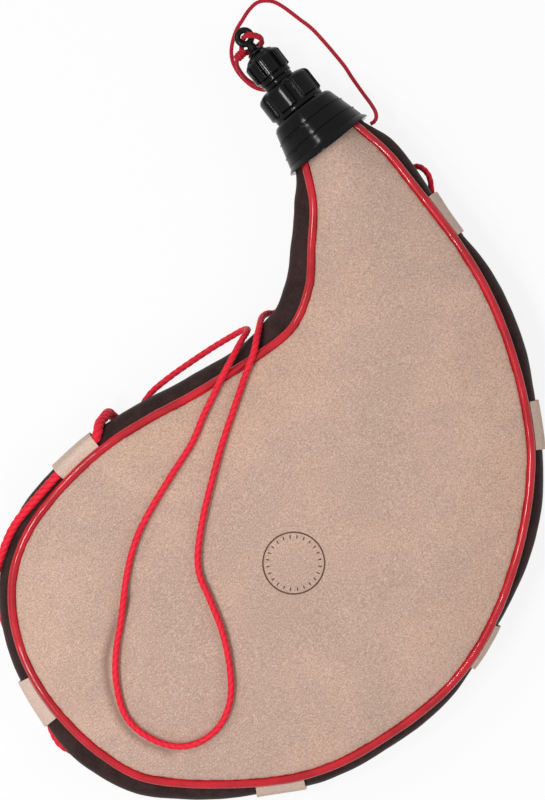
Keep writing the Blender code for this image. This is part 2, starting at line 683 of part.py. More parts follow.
def make_panel(name, side, crown, neck_crown, finish):
    """One suede face of the bag. Side is 1 for the front and -1 for the back."""
    half = PANEL_THICK / 2
    inset = PIPING_RADIUS + FIT
    flat, triangles, swell, _, _ = soft_sheet(
        inset, half, RIM_HEIGHT + NECK_DEPTH, SHEET_STEP, NECK_STEP, SEAM_STEPS,
        crown, neck_crown)
    bm = bmesh.new()
    verts = []
    for (across, along), rise in zip(flat, swell):
        lift = leaned(-inset, half, seam_tilt(along))[1]
        height = AXIS_HEIGHT + side * (seam_rise(along) + lift + rise)
        verts.append(bm.verts.new((across, along, max(height, 0.0))))
    for tri in triangles:
        bm.faces.new([verts[k] for k in (tri if side > 0 else reversed(tri))])
    mesh = bpy.data.meshes.new(name)
    bm.to_mesh(mesh)
    bm.free()
    mesh.shade_smooth()
    piece = add_object(name, mesh, finish)
    wall = piece.modifiers.new("thickness", "SOLIDIFY")
    wall.thickness = PANEL_THICK
    wall.offset = -1.0
    wall.use_even_offset = True
    return piece


def make_gusset(finish):
    """The dark strip between the two seams, with turned-in edges under the piping."""
    outer, inner = [], []
    stations = np.linspace(0.0, 1.0, SEAM_STEPS + 1)
    start = list(np.linspace(0.0, stations[1], RIM_STATIONS, endpoint=False))
    ends = [1.0 - share for share in reversed(start)]
    for share in start + list(stations[1:-1]) + ends:
        face_out, face_in = thickened(gusset_section(share), GUSSET_THICK)
        outer.append([in_space(share, out, up) for out, up in face_out])
        inner.append([in_space(share, out, up) for out, up in face_in])
    return add_object("gusset", layered("gusset", outer, inner), finish)


def make_piping(name, side, finish):
    """A red cord in one seam, cut off just inside the collar."""
    points = []
    for share in np.linspace(0.0, 1.0, SEAM_STEPS + 1):
        point, _ = seam_at(share)
        if point[1] <= RIM_HEIGHT + PIPING_DEPTH:
            points.append(in_space(share, 0.0, side * seam_rise(point[1])))
    return tube(name, points, PIPING_RADIUS, finish, faces=1)


def throat_radius(depth):
    """Outer radius of the mouth tube's tapered skirt inside the neck."""
    return collar_inner(depth) - THROAT_STACK


def make_liner(finish):
    """The latex liner: a bag inside the bag, gathered onto the mouth tube's skirt."""
    limit = RIM_HEIGHT - LINER_SHOULDER
    flat, triangles, swell, edge, boundary = soft_sheet(
        LINER_INSET, 0.0, limit, LINER_STEP, LINER_NECK_STEP, LINER_SEAM_STEPS,
        FRONT_CROWN, NECK_SAG)
    bm = bmesh.new()
    sheets = {}
    for side in (1, -1):
        sheets[side] = [bm.verts.new((across, along,
                        AXIS_HEIGHT + side * (seam_rise(along) - LINER_DROP + rise)))
                        for (across, along), rise in zip(flat, swell)]
        for tri in triangles:
            bm.faces.new([sheets[side][k] for k in (tri if side > 0 else reversed(tri))])
    shares = np.linspace(0.0, 1.0, 40 * LINER_SEAM_STEPS + 1)
    inside = [share for share in shares if seam_at(share)[0][1] <= limit]
    middle = []
    for share in np.linspace(inside[0], inside[-1], LINER_SEAM_STEPS + 1):
        out = gusset_reach(share, seam_at(share)[0][1]) - GUSSET_THICK - LINER_THICK - LINER_CLEAR
        middle.append(bm.verts.new(in_space(share, out, 0.0)))
    for k in range(edge - 1):
        for side in (1, -1):
            rim = sheets[side]
            bm.faces.new((rim[k], middle[k], middle[k + 1], rim[k + 1]))
    neck = [edge - 1] + list(range(edge, boundary)) + [0]
    loop = [sheets[1][k] for k in neck] + [middle[0]]
    loop += [sheets[-1][k] for k in reversed(neck)] + [middle[-1]]
    start = math.atan2(loop[0].co.z - AXIS_HEIGHT, loop[0].co.x - NOZZLE_ACROSS)
    around = np.linspace(start, start + math.tau, len(loop), endpoint=False)
    for depth in (THROAT_START, NECK_DEPTH):
        radius = (throat_radius(depth) + FIT) / math.cos(math.pi / len(loop)) + LINER_THICK
        ring = [bm.verts.new((NOZZLE_ACROSS + radius * math.cos(angle), RIM_HEIGHT + depth,
                              AXIS_HEIGHT + radius * math.sin(angle))) for angle in around]
        for k in range(len(loop)):
            after = (k + 1) % len(loop)
            bm.faces.new((loop[k], loop[after], ring[after], ring[k]))
        loop = ring
    mesh = mesh_from("liner", bm)
    piece = add_object("liner", mesh, finish)
    wall = piece.modifiers.new("thickness", "SOLIDIFY")
    wall.thickness = LINER_THICK
    wall.offset = -1.0
    return piece


def cord_degrees(share):
    """Angle of the carrying cord on the gusset's bulge."""
    route = smooth_curve(EDGE_CORD_SHARES, CORD_CURVE_STEPS)
    return float(np.interp(share, route[:, 0], route[:, 1]))


def cord_place(share, degrees):
    """Middle of the carrying cord on the gusset, as (outward, up)."""
    out, up, facing = bulge_place(share, math.radians(degrees))
    stand = GUSSET_THICK / 2 + FIT + CARRY_RADIUS
    return out + facing[0] * stand, up + facing[1] * stand


def taut_line(spots, start, end):
    """The line from start to end that is pulled tight round the outside of the spots."""
    loop = []
    for rows in (sorted(spots + [start, end]), sorted(spots + [start, end], reverse=True)):
        chain = []
        for spot in rows:
            while len(chain) > 1:
                (a, b), (c, d) = chain[-2:]
                if (c - a) * (spot[1] - b) - (d - b) * (spot[0] - a) > 0.0:
                    break
                chain.pop()
            chain.append(spot)
        loop += chain[:-1]
    first = loop.index(end)
    loop = loop[first:] + loop[:first]
    return np.array(loop[:loop.index(start) + 1][::-1])


def tab_section(share):
    """Middle layer of a tab, pulled over gusset and cord from the front seam to the back seam."""
    stand = GUSSET_THICK / 2 + FIT + TAB_THICK / 2
    clear = CARRY_RADIUS + 3 * FIT + TAB_THICK / 2
    point, _ = seam_at(share)
    rise, tilt = seam_rise(point[1]), seam_tilt(point[1])
    start_out, start_up = leaned(PIPING_RADIUS + FIT + TAB_THICK / 2, -FIT, tilt)
    spots = []
    for turn in np.linspace(TAB_REACH, -TAB_REACH, TAB_STATIONS):
        out, up, facing = bulge_place(share, turn)
        spots.append((out + facing[0] * stand, up + facing[1] * stand))
    across, along = cord_place(share, cord_degrees(share))
    for k in range(CORD_STATIONS):
        turn = math.tau * k / CORD_STATIONS
        spots.append((across + clear * math.cos(turn), along + clear * math.sin(turn)))
    spots = [spot for spot in spots if spot[0] > start_out]
    line = taut_line(spots, (start_out, rise + start_up), (start_out, -rise - start_up))
    travelled = lengths_along(line)
    places = np.linspace(0.0, travelled[-1], TAB_SPANS + 1)
    return np.stack([np.interp(places, travelled, line[:, k]) for k in range(2)], axis=1)


def make_tab(number, centre, finish):
    """One suede tab, sewn into both seams and bent over the cord."""
    name = "tab_" + str(number)
    half = TAB_LENGTH / SEAM_LENGTH / 2
    outer, inner = [], []
    for share in np.linspace(centre - half, centre + half, TAB_STEPS + 1):
        face_out, face_in = thickened(tab_section(share), TAB_THICK)
        outer.append([in_space(share, out, up) for out, up in face_out])
        inner.append([in_space(share, out, up) for out, up in face_in])
    return add_object(name, layered(name, outer, inner), finish)


# Nozzle, turned about its own axis with heights above the collar's rim

def make_collar(finish, nozzle):
    """The ringed cone that covers the neck, with a plate on top for the mouth tube."""
    top = COLLAR_HEIGHT
    outline = [(COLLAR_RIM_RADIUS, 0.0), (COLLAR_RIM_RADIUS, COLLAR_LIP / 2),
               (COLLAR_FOOT_RADIUS, COLLAR_LIP)]
    for share in RIDGE_SHARES:
        height = top * share
        radius = collar_outer(height)
        outline += [(radius + COLLAR_RIDGE, height - COLLAR_RIDGE), (radius - COLLAR_RIDGE, height)]
    outline += [(collar_outer(top - COLLAR_CHAMFER), top - COLLAR_CHAMFER),
                (COLLAR_TOP_RADIUS - COLLAR_CHAMFER, top),
                (MOUTH_RADIUS + FIT, top), (MOUTH_RADIUS + FIT, top - COLLAR_WALL),
                (collar_inner(top - COLLAR_WALL), top - COLLAR_WALL), (collar_inner(0.0), 0.0)]
    mesh = turned("collar", outline, ROUND_STEPS + SMALL_STEPS // 3)
    for vert in mesh.vertices:
        low = max(1.0 - vert.co.z / COLLAR_LIP / 2, 0.0)
        vert.co.z -= COLLAR_DIP * low * (vert.co.y / COLLAR_RIM_RADIUS) ** 2
    return add_object("collar", mesh, finish, nozzle)


def make_mouth_tube(finish, nozzle):
    """The threaded tube: a skirt in the liner's neck, a shoulder under the collar's plate,
    and a snap bead above it."""
    plate = COLLAR_HEIGHT - COLLAR_WALL - FIT
    bead = COLLAR_HEIGHT + FIT
    tip = COLLAR_HEIGHT + MOUTH_LENGTH
    outline = [(throat_radius(THROAT_START), THROAT_START), (throat_radius(THROAT_DEPTH), THROAT_DEPTH),
               (SHOULDER_RADIUS, THROAT_DEPTH + THROAT_WALL), (SHOULDER_RADIUS, plate),
               (MOUTH_RADIUS, plate), (MOUTH_RADIUS, bead), (MOUTH_RADIUS + SNAP_RISE, bead),
               (MOUTH_RADIUS, bead + SNAP_HEIGHT), (MOUTH_RADIUS, tip - MOUTH_CHAMFER),
               (MOUTH_RADIUS - MOUTH_CHAMFER, tip), (MOUTH_BORE_RADIUS, tip),
               (MOUTH_BORE_RADIUS, THROAT_DEPTH + THROAT_WALL),
               (throat_radius(THROAT_START) - THROAT_WALL, THROAT_START)]
    piece = add_object("mouth_tube", turned("mouth_tube", outline), finish, nozzle)
    start = COLLAR_HEIGHT + FIT + SNAP_HEIGHT + THREAD_ROOT
    unite(piece, thread("mouth_thread", MOUTH_RADIUS, True, NUT_THREAD_LEAD, NUT_THREAD_COUNT,
                        NUT_THREAD_TURNS, start))
    return piece


def nut_base():
    """Height of the nut's foot above the collar's rim."""
    return COLLAR_HEIGHT + NUT_GAP


def nut_top():
    """Height of the nut's shoulder."""
    return nut_base() + NUT_HEIGHT


def make_gasket(finish, nozzle):
    """The ring that seals the mouth tube against the nut's roof."""
    low = COLLAR_HEIGHT + MOUTH_LENGTH + FIT
    outer = MOUTH_RADIUS - FIT
    outline = [(outer, low), (outer, low + GASKET_THICK), (GASKET_INNER_RADIUS, low + GASKET_THICK),
               (GASKET_INNER_RADIUS, low)]
    return add_object("filler_gasket", turned("filler_gasket", outline, SMALL_STEPS), finish, nozzle)


def make_nut(finish, nozzle):
    """The filler nut with its grip lugs, inner thread and spout, all one moulding."""
    base, top = nut_base(), nut_top()
    wall = MOUTH_RADIUS + THREAD_DEPTH + RUNNING_FIT
    roof = COLLAR_HEIGHT + MOUTH_LENGTH + GASKET_THICK + 2 * FIT
    tip = top + SPOUT_COLLAR_HEIGHT + SPOUT_LENGTH
    outline = [(NUT_RADIUS, base), (NUT_RADIUS, top - NUT_SHOULDER), (SPOUT_COLLAR_RADIUS + LUG_RISE, top),
               (SPOUT_COLLAR_RADIUS, top), (SPOUT_COLLAR_RADIUS, top + SPOUT_COLLAR_HEIGHT),
               (SPOUT_RADIUS, top + SPOUT_COLLAR_HEIGHT), (SPOUT_RADIUS, tip - MOUTH_CHAMFER),
               (SPOUT_RADIUS - MOUTH_CHAMFER, tip), (JET_RADIUS, tip), (JET_RADIUS, tip - JET_LENGTH),
               (SPOUT_BORE_RADIUS, tip - JET_LENGTH), (SPOUT_BORE_RADIUS, roof), (wall, roof), (wall, base)]
    piece = add_object("filler_nut", turned("filler_nut", outline), finish, nozzle)
    crown = NUT_RADIUS + LUG_RISE
    root = wall + RUNNING_FIT
    profile = [(crown, base + NUT_FOOT), (crown, top - NUT_SHOULDER), (NUT_RADIUS, top - NUT_SHOULDER / 2),
               (root + LUG_RISE, top - LUG_RISE / 2)]
    lugs = block_ring("nut_lugs", root, profile, NUT_LUG_COUNT, LUG_WIDTH_SHARE)
    start = COLLAR_HEIGHT + FIT + SNAP_HEIGHT + THREAD_ROOT
    ridges = thread("nut_thread", wall, False, NUT_THREAD_LEAD, NUT_THREAD_COUNT,
                    NUT_THREAD_TURNS, start, offset=0.5 / NUT_THREAD_COUNT)
    unite(piece, [lugs] + ridges)
    return piece


def cap_base():
    """Height of the cap's foot."""
    return nut_top() + SPOUT_COLLAR_HEIGHT + FIT


def spout_thread_start():
    """Height at which the thread on the spout begins."""
    return cap_base() + THREAD_ROOT


def make_cap(finish, nozzle):
    """The small screw cap with raised grip ribs and a hole for the swivel pin."""
    base = cap_base()
    top = base + CAP_HEIGHT
    wall = SPOUT_RADIUS + THREAD_DEPTH + RUNNING_FIT
    roof = top - CAP_ROOF
    pocket = roof + PIN_HEAD_HEIGHT + 2 * FIT
    outline = [(CAP_RADIUS, base), (CAP_RADIUS, top - CAP_CHAMFER), (CAP_TOP_RADIUS, top),
               (PIN_RADIUS + FIT, top), (PIN_RADIUS + FIT, pocket), (PIN_HEAD_RADIUS + FIT, pocket),
               (PIN_HEAD_RADIUS + FIT, roof), (wall, roof), (wall, base)]
    piece = add_object("cap", turned("cap", outline), finish, nozzle)
    crown = CAP_RADIUS + CAP_RIB_RISE
    profile = [(crown, base + CAP_RIB_FOOT), (crown, top - CAP_CHAMFER - CAP_RIB_RISE / 2),
               (CAP_RADIUS - CAP_RIB_RISE / 2, top - CAP_CHAMFER + CAP_RIB_RISE)]
    ribs = block_ring("cap_ribs", CAP_RADIUS - CAP_RIB_RISE, profile, CAP_RIB_COUNT, CAP_RIB_WIDTH_SHARE)
    ridges = thread("cap_thread", wall, False, CAP_THREAD_LEAD, CAP_THREAD_COUNT, CAP_THREAD_TURNS,
                    spout_thread_start(), offset=0.5 / CAP_THREAD_COUNT)
    unite(piece, [ribs] + ridges)
    return piece


def make_spout_thread(nut):
    """The outer thread on the nut's spout."""
    unite(nut, thread("spout_thread", SPOUT_RADIUS, True, CAP_THREAD_LEAD, CAP_THREAD_COUNT,
                      CAP_THREAD_TURNS, spout_thread_start()))


def make_cap_seal(finish, nozzle):
    """The disc in the cap's roof that closes the jet."""
    high = cap_base() + CAP_HEIGHT - CAP_ROOF - FIT
    radius = SPOUT_RADIUS + THREAD_DEPTH
    outline = [(0.0, high - SEAL_THICK), (radius, high - SEAL_THICK), (radius, high), (0.0, high)]
    return add_object("cap_seal", turned("cap_seal", outline, SMALL_STEPS), finish, nozzle)


def make_eye(finish, nozzle):
    """The ring that takes the keeper cord, on a pin that lets the cap turn under it."""
    top = cap_base() + CAP_HEIGHT
    roof = top - CAP_ROOF
    ring_height = top + FIT + EYE_REACH
    head = roof + FIT + PIN_HEAD_HEIGHT
    outline = [(0.0, roof + FIT), (PIN_HEAD_RADIUS, roof + FIT), (PIN_HEAD_RADIUS, head), (PIN_RADIUS, head),
               (PIN_RADIUS, top + FIT), (EYE_BASE_RADIUS, top + FIT),
               (EYE_BASE_RADIUS, top + FIT + EYE_BASE_HEIGHT),
               (EYE_NECK_RADIUS, ring_height - EYE_RADIUS - EYE_WIRE_RADIUS / 2),
               (0.0, ring_height - EYE_RADIUS)]
    piece = add_object("cap_eye", turned("cap_eye", outline, SMALL_STEPS), finish, nozzle)
    wire = []
    for step in range(SMALL_STEPS // 2):
        angle = math.tau * (step + 0.5) / (SMALL_STEPS // 2)
        wire.append((EYE_RADIUS + EYE_WIRE_RADIUS * math.cos(angle), EYE_WIRE_RADIUS * math.sin(angle)))
    ring_mesh = turned("eye_ring", wire, SMALL_STEPS)
    for vert in ring_mesh.vertices:
        vert.co = (vert.co.x, vert.co.z, vert.co.y + ring_height)
    ring_mesh.flip_normals()
    unite(piece, [add_object("eye_ring", ring_mesh)])
    return piece


# Cords

def edge_cord_points():
    """The carrying cord along the gusset, from the knot under the shoulder through every tab."""
    points = list(smooth_curve(KNOT_ROUTE, CORD_CURVE_STEPS)[:-1])
    for share, degrees in smooth_curve(EDGE_CORD_SHARES, CORD_CURVE_STEPS):
        points.append(in_space(share, *cord_place(share, degrees)))
    return evenly(np.array(points), CARRY_STEP)


def free_cord(name, route, radius, step, finish):
    """A cord that lies free, along a smooth curve through its route."""
    curve = smooth_curve(route, CORD_CURVE_STEPS)
    return tube(name, evenly(curve, step), radius, finish)


def ball(name, place, radii, finish):
    """A tight knot, as a rounded lump."""
    bm = bmesh.new()
    bmesh.ops.create_uvsphere(bm, u_segments=KNOT_FACETS, v_segments=KNOT_FACETS // 2 + 1, radius=1.0)
    for vert in bm.verts:
        vert.co = Vector([vert.co[k] * radii[k] for k in range(3)])
    piece = add_object(name, mesh_from(name, bm), finish)
    piece.location = place
    return piece


def swept(name, points, radius, sides):
    """A round bar along a path, as a mesh with closed ends."""
    rows = np.array(points)
    along = np.gradient(rows, axis=0)
    across = np.array([0.0, 0.0, 1.0])
    bm = bmesh.new()
    rings = []
    for place, way in zip(rows, along):
        way = way / np.linalg.norm(way)
        across = across - way * np.dot(across, way)
        across = across / np.linalg.norm(across)
        beside = np.cross(way, across)
        turns = np.linspace(0.0, math.tau, sides, endpoint=False)
        rings.append([bm.verts.new(place + radius * (across * math.cos(turn) + beside * math.sin(turn)))
                      for turn in turns])
    for low, high in zip(rings, rings[1:]):
        for k in range(sides):
            bm.faces.new((low[k], low[(k + 1) % sides], high[(k + 1) % sides], high[k]))
    bm.faces.new(rings[0])
    bm.faces.new(rings[-1])
    return mesh_from(name, bm)


def make_keeper_knot(finish):
    """The knot on the cap's eye, with its loop through the ring."""
    piece = ball("keeper_knot", KEEPER_KNOT_PLACE, KEEPER_KNOT_RADII, finish)
    path = smooth_curve(EYE_LOOP_ROUTE, LOOP_STEPS) - np.array(KEEPER_KNOT_PLACE)
    unite(piece, [add_object("eye_loop", swept("eye_loop", path, KEEPER_RADIUS, SMALL_STEPS // 2))])
    return piece


def main():
    """Clear the scene and make every piece."""
    for old in list(bpy.data.objects):
        bpy.data.objects.remove(old, do_unlink=True)

    suede = material("suede", (0.60, 0.42, 0.33), 0.95)
    dark_leather = material("gusset_leather", (0.045, 0.026, 0.022), 0.55)
    piping_red = material("piping_red", (0.56, 0.014, 0.03), 0.28)
    cord_red = material("carry_cord_red", (0.80, 0.020, 0.045), 0.6)
    keeper_red = material("keeper_cord_red", (0.42, 0.014, 0.03), 0.6)
    plastic = material("black_plastic", (0.012, 0.012, 0.013), 0.38)
    eye_plastic = material("eye_plastic", (0.012, 0.016, 0.012), 0.35)
    latex = material("latex", (0.62, 0.50, 0.30), 0.5)
    rubber = material("seal_rubber", (0.55, 0.55, 0.52), 0.7)

    make_panel("front_panel", 1, FRONT_CROWN, NECK_CROWN, suede)
    make_panel("back_panel", -1, BACK_CROWN, NECK_SAG, suede)
    make_gusset(dark_leather)
    make_piping("front_piping", 1, piping_red)
    make_piping("back_piping", -1, piping_red)
    make_liner(latex)
    for number, centre in enumerate(TAB_SHARES, start=1):
        make_tab(number, centre, suede)

    nozzle = bpy.data.objects.new("nozzle_axis", None)
    bpy.context.scene.collection.objects.link(nozzle)
    nozzle.location = (NOZZLE_ACROSS, RIM_HEIGHT, AXIS_HEIGHT)
    nozzle.rotation_euler = (-math.pi / 2, 0.0, 0.0)

    make_collar(plastic, nozzle)
    make_mouth_tube(plastic, nozzle)
    make_gasket(rubber, nozzle)
    nut = make_nut(plastic, nozzle)
    make_spout_thread(nut)
    make_cap(plastic, nozzle)
    make_cap_seal(rubber, nozzle)
    make_eye(eye_plastic, nozzle)

    tube("edge_cord", edge_cord_points(), CARRY_RADIUS, cord_red)
    free_cord("sling_cord", CARRY_ROUTE, CARRY_RADIUS, CARRY_STEP, cord_red)
    ball("carry_knot", CARRY_KNOT_PLACE, CARRY_KNOT_RADII, cord_red)
    free_cord("keeper_cord", KEEPER_ROUTE, KEEPER_RADIUS, KEEPER_STEP, keeper_red)
    free_cord("keeper_cord_cap", CAP_KEEPER_ROUTE, KEEPER_RADIUS, KEEPER_STEP, keeper_red)
    ball("tether_knot", TETHER_KNOT_PLACE, TETHER_KNOT_RADII, keeper_red)
    make_keeper_knot(keeper_red)


main()
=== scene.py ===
"""Looks of the leather bota bag: fine soft shapes, fittings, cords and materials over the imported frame."""

from math import ceil, cos, pi, radians, sin, sqrt, tau

import bmesh
import bpy
import numpy as np
from mathutils import Matrix, Vector, noise
from mathutils.geometry import delaunay_2d_cdt
from numpy.linalg import norm


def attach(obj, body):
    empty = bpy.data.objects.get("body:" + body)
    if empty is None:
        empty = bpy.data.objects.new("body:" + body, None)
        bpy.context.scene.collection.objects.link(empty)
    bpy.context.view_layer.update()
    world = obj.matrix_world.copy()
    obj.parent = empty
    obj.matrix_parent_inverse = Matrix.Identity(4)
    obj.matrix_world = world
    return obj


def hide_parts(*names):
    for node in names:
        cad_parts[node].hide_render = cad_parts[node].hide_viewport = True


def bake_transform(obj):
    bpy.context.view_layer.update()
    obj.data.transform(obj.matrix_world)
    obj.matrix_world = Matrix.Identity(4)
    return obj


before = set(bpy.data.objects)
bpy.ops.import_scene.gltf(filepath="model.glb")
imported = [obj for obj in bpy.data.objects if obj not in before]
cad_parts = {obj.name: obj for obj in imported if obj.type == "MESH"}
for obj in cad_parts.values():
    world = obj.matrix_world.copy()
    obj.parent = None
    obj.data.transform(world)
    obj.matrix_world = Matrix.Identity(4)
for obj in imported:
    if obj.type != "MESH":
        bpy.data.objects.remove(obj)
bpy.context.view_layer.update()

# Outline and section of the bag, as in the part's source, in metres

BAG_SPAN = 0.348
BAG_REACH = 0.290
SEAM_SHARES = [
    (0.3534, 0.5255), (0.3078, 0.4618), (0.2611, 0.3991), (0.2005, 0.3575), (0.1304, 0.3546),
    (0.0608, 0.3633), (-0.0086, 0.3740), (-0.0775, 0.3888), (-0.1470, 0.3979), (-0.2168, 0.3959),
    (-0.2857, 0.3838), (-0.3525, 0.3599), (-0.4119, 0.3153), (-0.4565, 0.2497), (-0.4849, 0.1723),
    (-0.4974, 0.0894), (-0.4959, 0.0055), (-0.4832, -0.0771), (-0.4571, -0.1559), (-0.4098, -0.2185),
    (-0.3558, -0.2718), (-0.2985, -0.3199), (-0.2367, -0.3595), (-0.1697, -0.3842), (-0.1005, -0.3954),
    (-0.0309, -0.4002), (0.0389, -0.3948), (0.1068, -0.3739), (0.1708, -0.3400), (0.2307, -0.2973),
    (0.2868, -0.2477), (0.3382, -0.1913), (0.3837, -0.1274), (0.4196, -0.0552), (0.4491, 0.0208),
    (0.4726, 0.0994), (0.4895, 0.1805), (0.4985, 0.2636), (0.5010, 0.3473), (0.5011, 0.4311),
    (0.5000, 0.5151),
]
BULGE_SHARES = [
    0.72, 0.87, 0.97, 1.13, 1.00, 0.82, 0.86, 0.87, 0.88, 0.91, 0.94, 0.72, 0.73,
    0.74, 0.84, 1.11, 1.04, 0.95, 0.87, 0.66, 0.71, 0.68, 0.69, 0.56, 0.38, 0.53,
    0.74, 0.79, 0.68, 0.65, 0.78, 0.81, 0.71, 0.48, 0.65, 0.72, 0.68,
]
PANEL_THICK = 0.0018
GUSSET_THICK = 0.0016
TAB_THICK = 0.0015
TAB_LENGTH = 0.0275
SEAM_RISE = 0.015
FRONT_CROWN = 0.0105
BACK_CROWN = 0.0140
NECK_CROWN = 0.0096
NECK_SAG = 0.0088
CROWN_EDGE = 0.026
BULGE = 0.0128
BULGE_BLEND = 0.022
BELLY_TILT = radians(14.0)
NECK_TILT = radians(38.0)
SEAM_ANGLE = radians(34.0)
NECK_BLEND = 0.056
NECK_DEPTH = 0.008
FLANGE = 0.0032
NOTCH_INNER = 0.0019
NOTCH_OUTER = 0.0026
PIPING_RADIUS = 0.0025
PIPING_DEPTH = 0.0025
FIT = 0.0003
NECK_FIT = 0.0007
RIM_HEIGHT = 0.174
NOZZLE_ACROSS = BAG_SPAN * 0.4353
AXIS_HEIGHT = 0.0285

# Fittings, as in the part's source

COLLAR_HEIGHT = 0.0265
COLLAR_RIM_RADIUS = 0.0280
COLLAR_FOOT_RADIUS = 0.0264
COLLAR_TOP_RADIUS = 0.0194
COLLAR_WALL = 0.0016
COLLAR_LIP = 0.0022
COLLAR_DIP = 0.0022
COLLAR_SLOPE = (COLLAR_FOOT_RADIUS - COLLAR_TOP_RADIUS) / (COLLAR_HEIGHT - COLLAR_LIP)
MOUTH_RADIUS = 0.0110
MOUTH_BORE_RADIUS = 0.0085
MOUTH_LENGTH = 0.0142
THROAT_STACK = 0.0104
THROAT_START = 0.0006
THROAT_WALL = 0.0022
SHOULDER_RADIUS = 0.0138
SNAP_HEIGHT = 0.0009
NUT_BASE = COLLAR_HEIGHT + 0.0005
NUT_TOP = NUT_BASE + 0.0190
NUT_RADIUS = 0.0162
NUT_LUG_COUNT = 6
GASKET_THICK = 0.0014
SPOUT_COLLAR_RADIUS = 0.0095
SPOUT_COLLAR_HEIGHT = 0.0027
SPOUT_RADIUS = 0.0056
SPOUT_LENGTH = 0.0128
SPOUT_BORE_RADIUS = 0.0033
JET_RADIUS = 0.0009
JET_LENGTH = 0.0022
CAP_BASE = NUT_TOP + SPOUT_COLLAR_HEIGHT + FIT
CAP_TOP = CAP_BASE + 0.0190
CAP_ROOF = CAP_TOP - 0.0046
CAP_RIB_COUNT = 8
CAP_RIB_RISE = 0.0016
PIN_RADIUS = 0.0017
PIN_HEAD_RADIUS = 0.0027
PIN_HEAD_HEIGHT = 0.0012
EYE_RADIUS = 0.0041
EYE_WIRE_RADIUS = 0.00185
EYE_BASE_RADIUS = 0.0054
EYE_REACH = 0.0116
THREAD_DEPTH = 0.0010
THREAD_ROOM = 0.0004
THREAD_START = 0.0015
# Lead, starts and turns of each thread
NUT_THREAD = (0.0060, 2, 1.25)
CAP_THREAD = (0.0040, 1, 1.5)

# Cords and tabs, as in the part's source

CARRY_RADIUS = 0.0020
KEEPER_RADIUS = 0.0012
TAB_SHARES = [0.2409, 0.3849, 0.5317, 0.6693, 0.7948, 0.9213]
EDGE_CORD_SHARES = [
    (0.2262, 63.0), (0.229, 64.0), (0.2409, 65.0), (0.2545, 67.0), (0.266, 67.0), (0.2765, 64.0),
    (0.284, 58.0), (0.2917, 50.0), (0.299, 44.0), (0.3065, 36.0), (0.316, 14.0), (0.326, -14.0),
    (0.338, -42.0), (0.352, -60.0), (0.368, -62.0), (0.3849, -58.0), (0.397, -44.0), (0.4095, -24.0),
    (0.422, -46.0), (0.438, -64.0), (0.465, -68.0), (0.500, -68.0), (0.5317, -60.0), (0.560, -68.0),
    (0.635, -72.0), (0.6693, -64.0), (0.700, -72.0), (0.760, -68.0), (0.7948, -60.0), (0.830, -68.0),
    (0.880, -68.0), (0.903, -62.0), (0.9213, -56.0), (0.9335, -50.0),
]
KNOT_ROUTE = [
    (-0.0424, 0.1214, 0.0060), (-0.0450, 0.1252, 0.0076), (-0.0456, 0.1285, 0.0108),
    (-0.0457, 0.1305, 0.0154), (-0.0468, 0.1308, 0.0212), (-0.0496, 0.1298, 0.0276),
    (-0.0531, 0.1284, 0.0345), (-0.0560, 0.1252, 0.0398),
]
CARRY_ROUTE = [
    (0.1823, 0.1142, 0.0188), (0.1831, 0.1166, 0.0194), (0.1852, 0.1200, 0.0201), (0.1871, 0.1238, 0.0193),
    (0.1879, 0.1280, 0.0168), (0.1870, 0.1325, 0.0132), (0.1844, 0.1347, 0.0092), (0.1805, 0.1354, 0.0060),
    (0.1752, 0.1356, 0.0034), (0.1500, 0.1400, 0.0023), (0.1240, 0.1370, 0.0023), (0.0990, 0.1300, 0.0023),
    (0.0825, 0.1208, 0.0024), (0.0742, 0.1174, 0.0030), (0.0676, 0.1172, 0.0062), (0.0636, 0.1195, 0.0122),
    (0.0604, 0.1197, 0.0196), (0.0578, 0.1184, 0.0280), (0.0542, 0.1154, 0.0370), (0.0494, 0.1114, 0.0442),
    (0.0436, 0.1064, 0.0476), (0.0370, 0.1020, 0.0490), (0.0310, 0.0984, 0.0493), (0.0185, 0.0902, 0.0518),
    (-0.0030, 0.0760, 0.0546), (-0.0200, 0.0634, 0.0562), (-0.0370, 0.0500, 0.0571),
    (-0.0514, 0.0365, 0.0574), (-0.0594, 0.0250, 0.0575), (-0.0634, 0.0105, 0.0576),
    (-0.0690, -0.0080, 0.0576), (-0.0776, -0.0260, 0.0571), (-0.0890, -0.0415, 0.0562),
    (-0.1030, -0.0500, 0.0549), (-0.1185, -0.0506, 0.0535), (-0.1316, -0.0434, 0.0530),
    (-0.1404, -0.0290, 0.0529), (-0.1426, -0.0130, 0.0534), (-0.1358, 0.0040, 0.0547),
    (-0.1250, 0.0185, 0.0556), (-0.1106, 0.0320, 0.0563), (-0.0940, 0.0486, 0.0564),
    (-0.0808, 0.0594, 0.0562), (-0.0660, 0.0680, 0.0559), (-0.0410, 0.0780, 0.0550),
    (-0.0174, 0.0864, 0.0534), (-0.0024, 0.0948, 0.0513), (0.0080, 0.0998, 0.0498), (0.0154, 0.1036, 0.0490),
    (0.0224, 0.1070, 0.0488), (0.0296, 0.1102, 0.0474), (0.0364, 0.1134, 0.0436), (0.0424, 0.1160, 0.0372),
    (0.0468, 0.1178, 0.0294), (0.0484, 0.1192, 0.0208), (0.0462, 0.1208, 0.0128), (0.0400, 0.1220, 0.0068),
    (0.0316, 0.1232, 0.0036), (0.0225, 0.1242, 0.0026), (0.0085, 0.1252, 0.0023), (-0.0040, 0.1258, 0.0023),
    (-0.0170, 0.1256, 0.0023), (-0.0250, 0.1238, 0.0027), (-0.0306, 0.1212, 0.0035),
    (-0.0346, 0.1193, 0.0043),
]
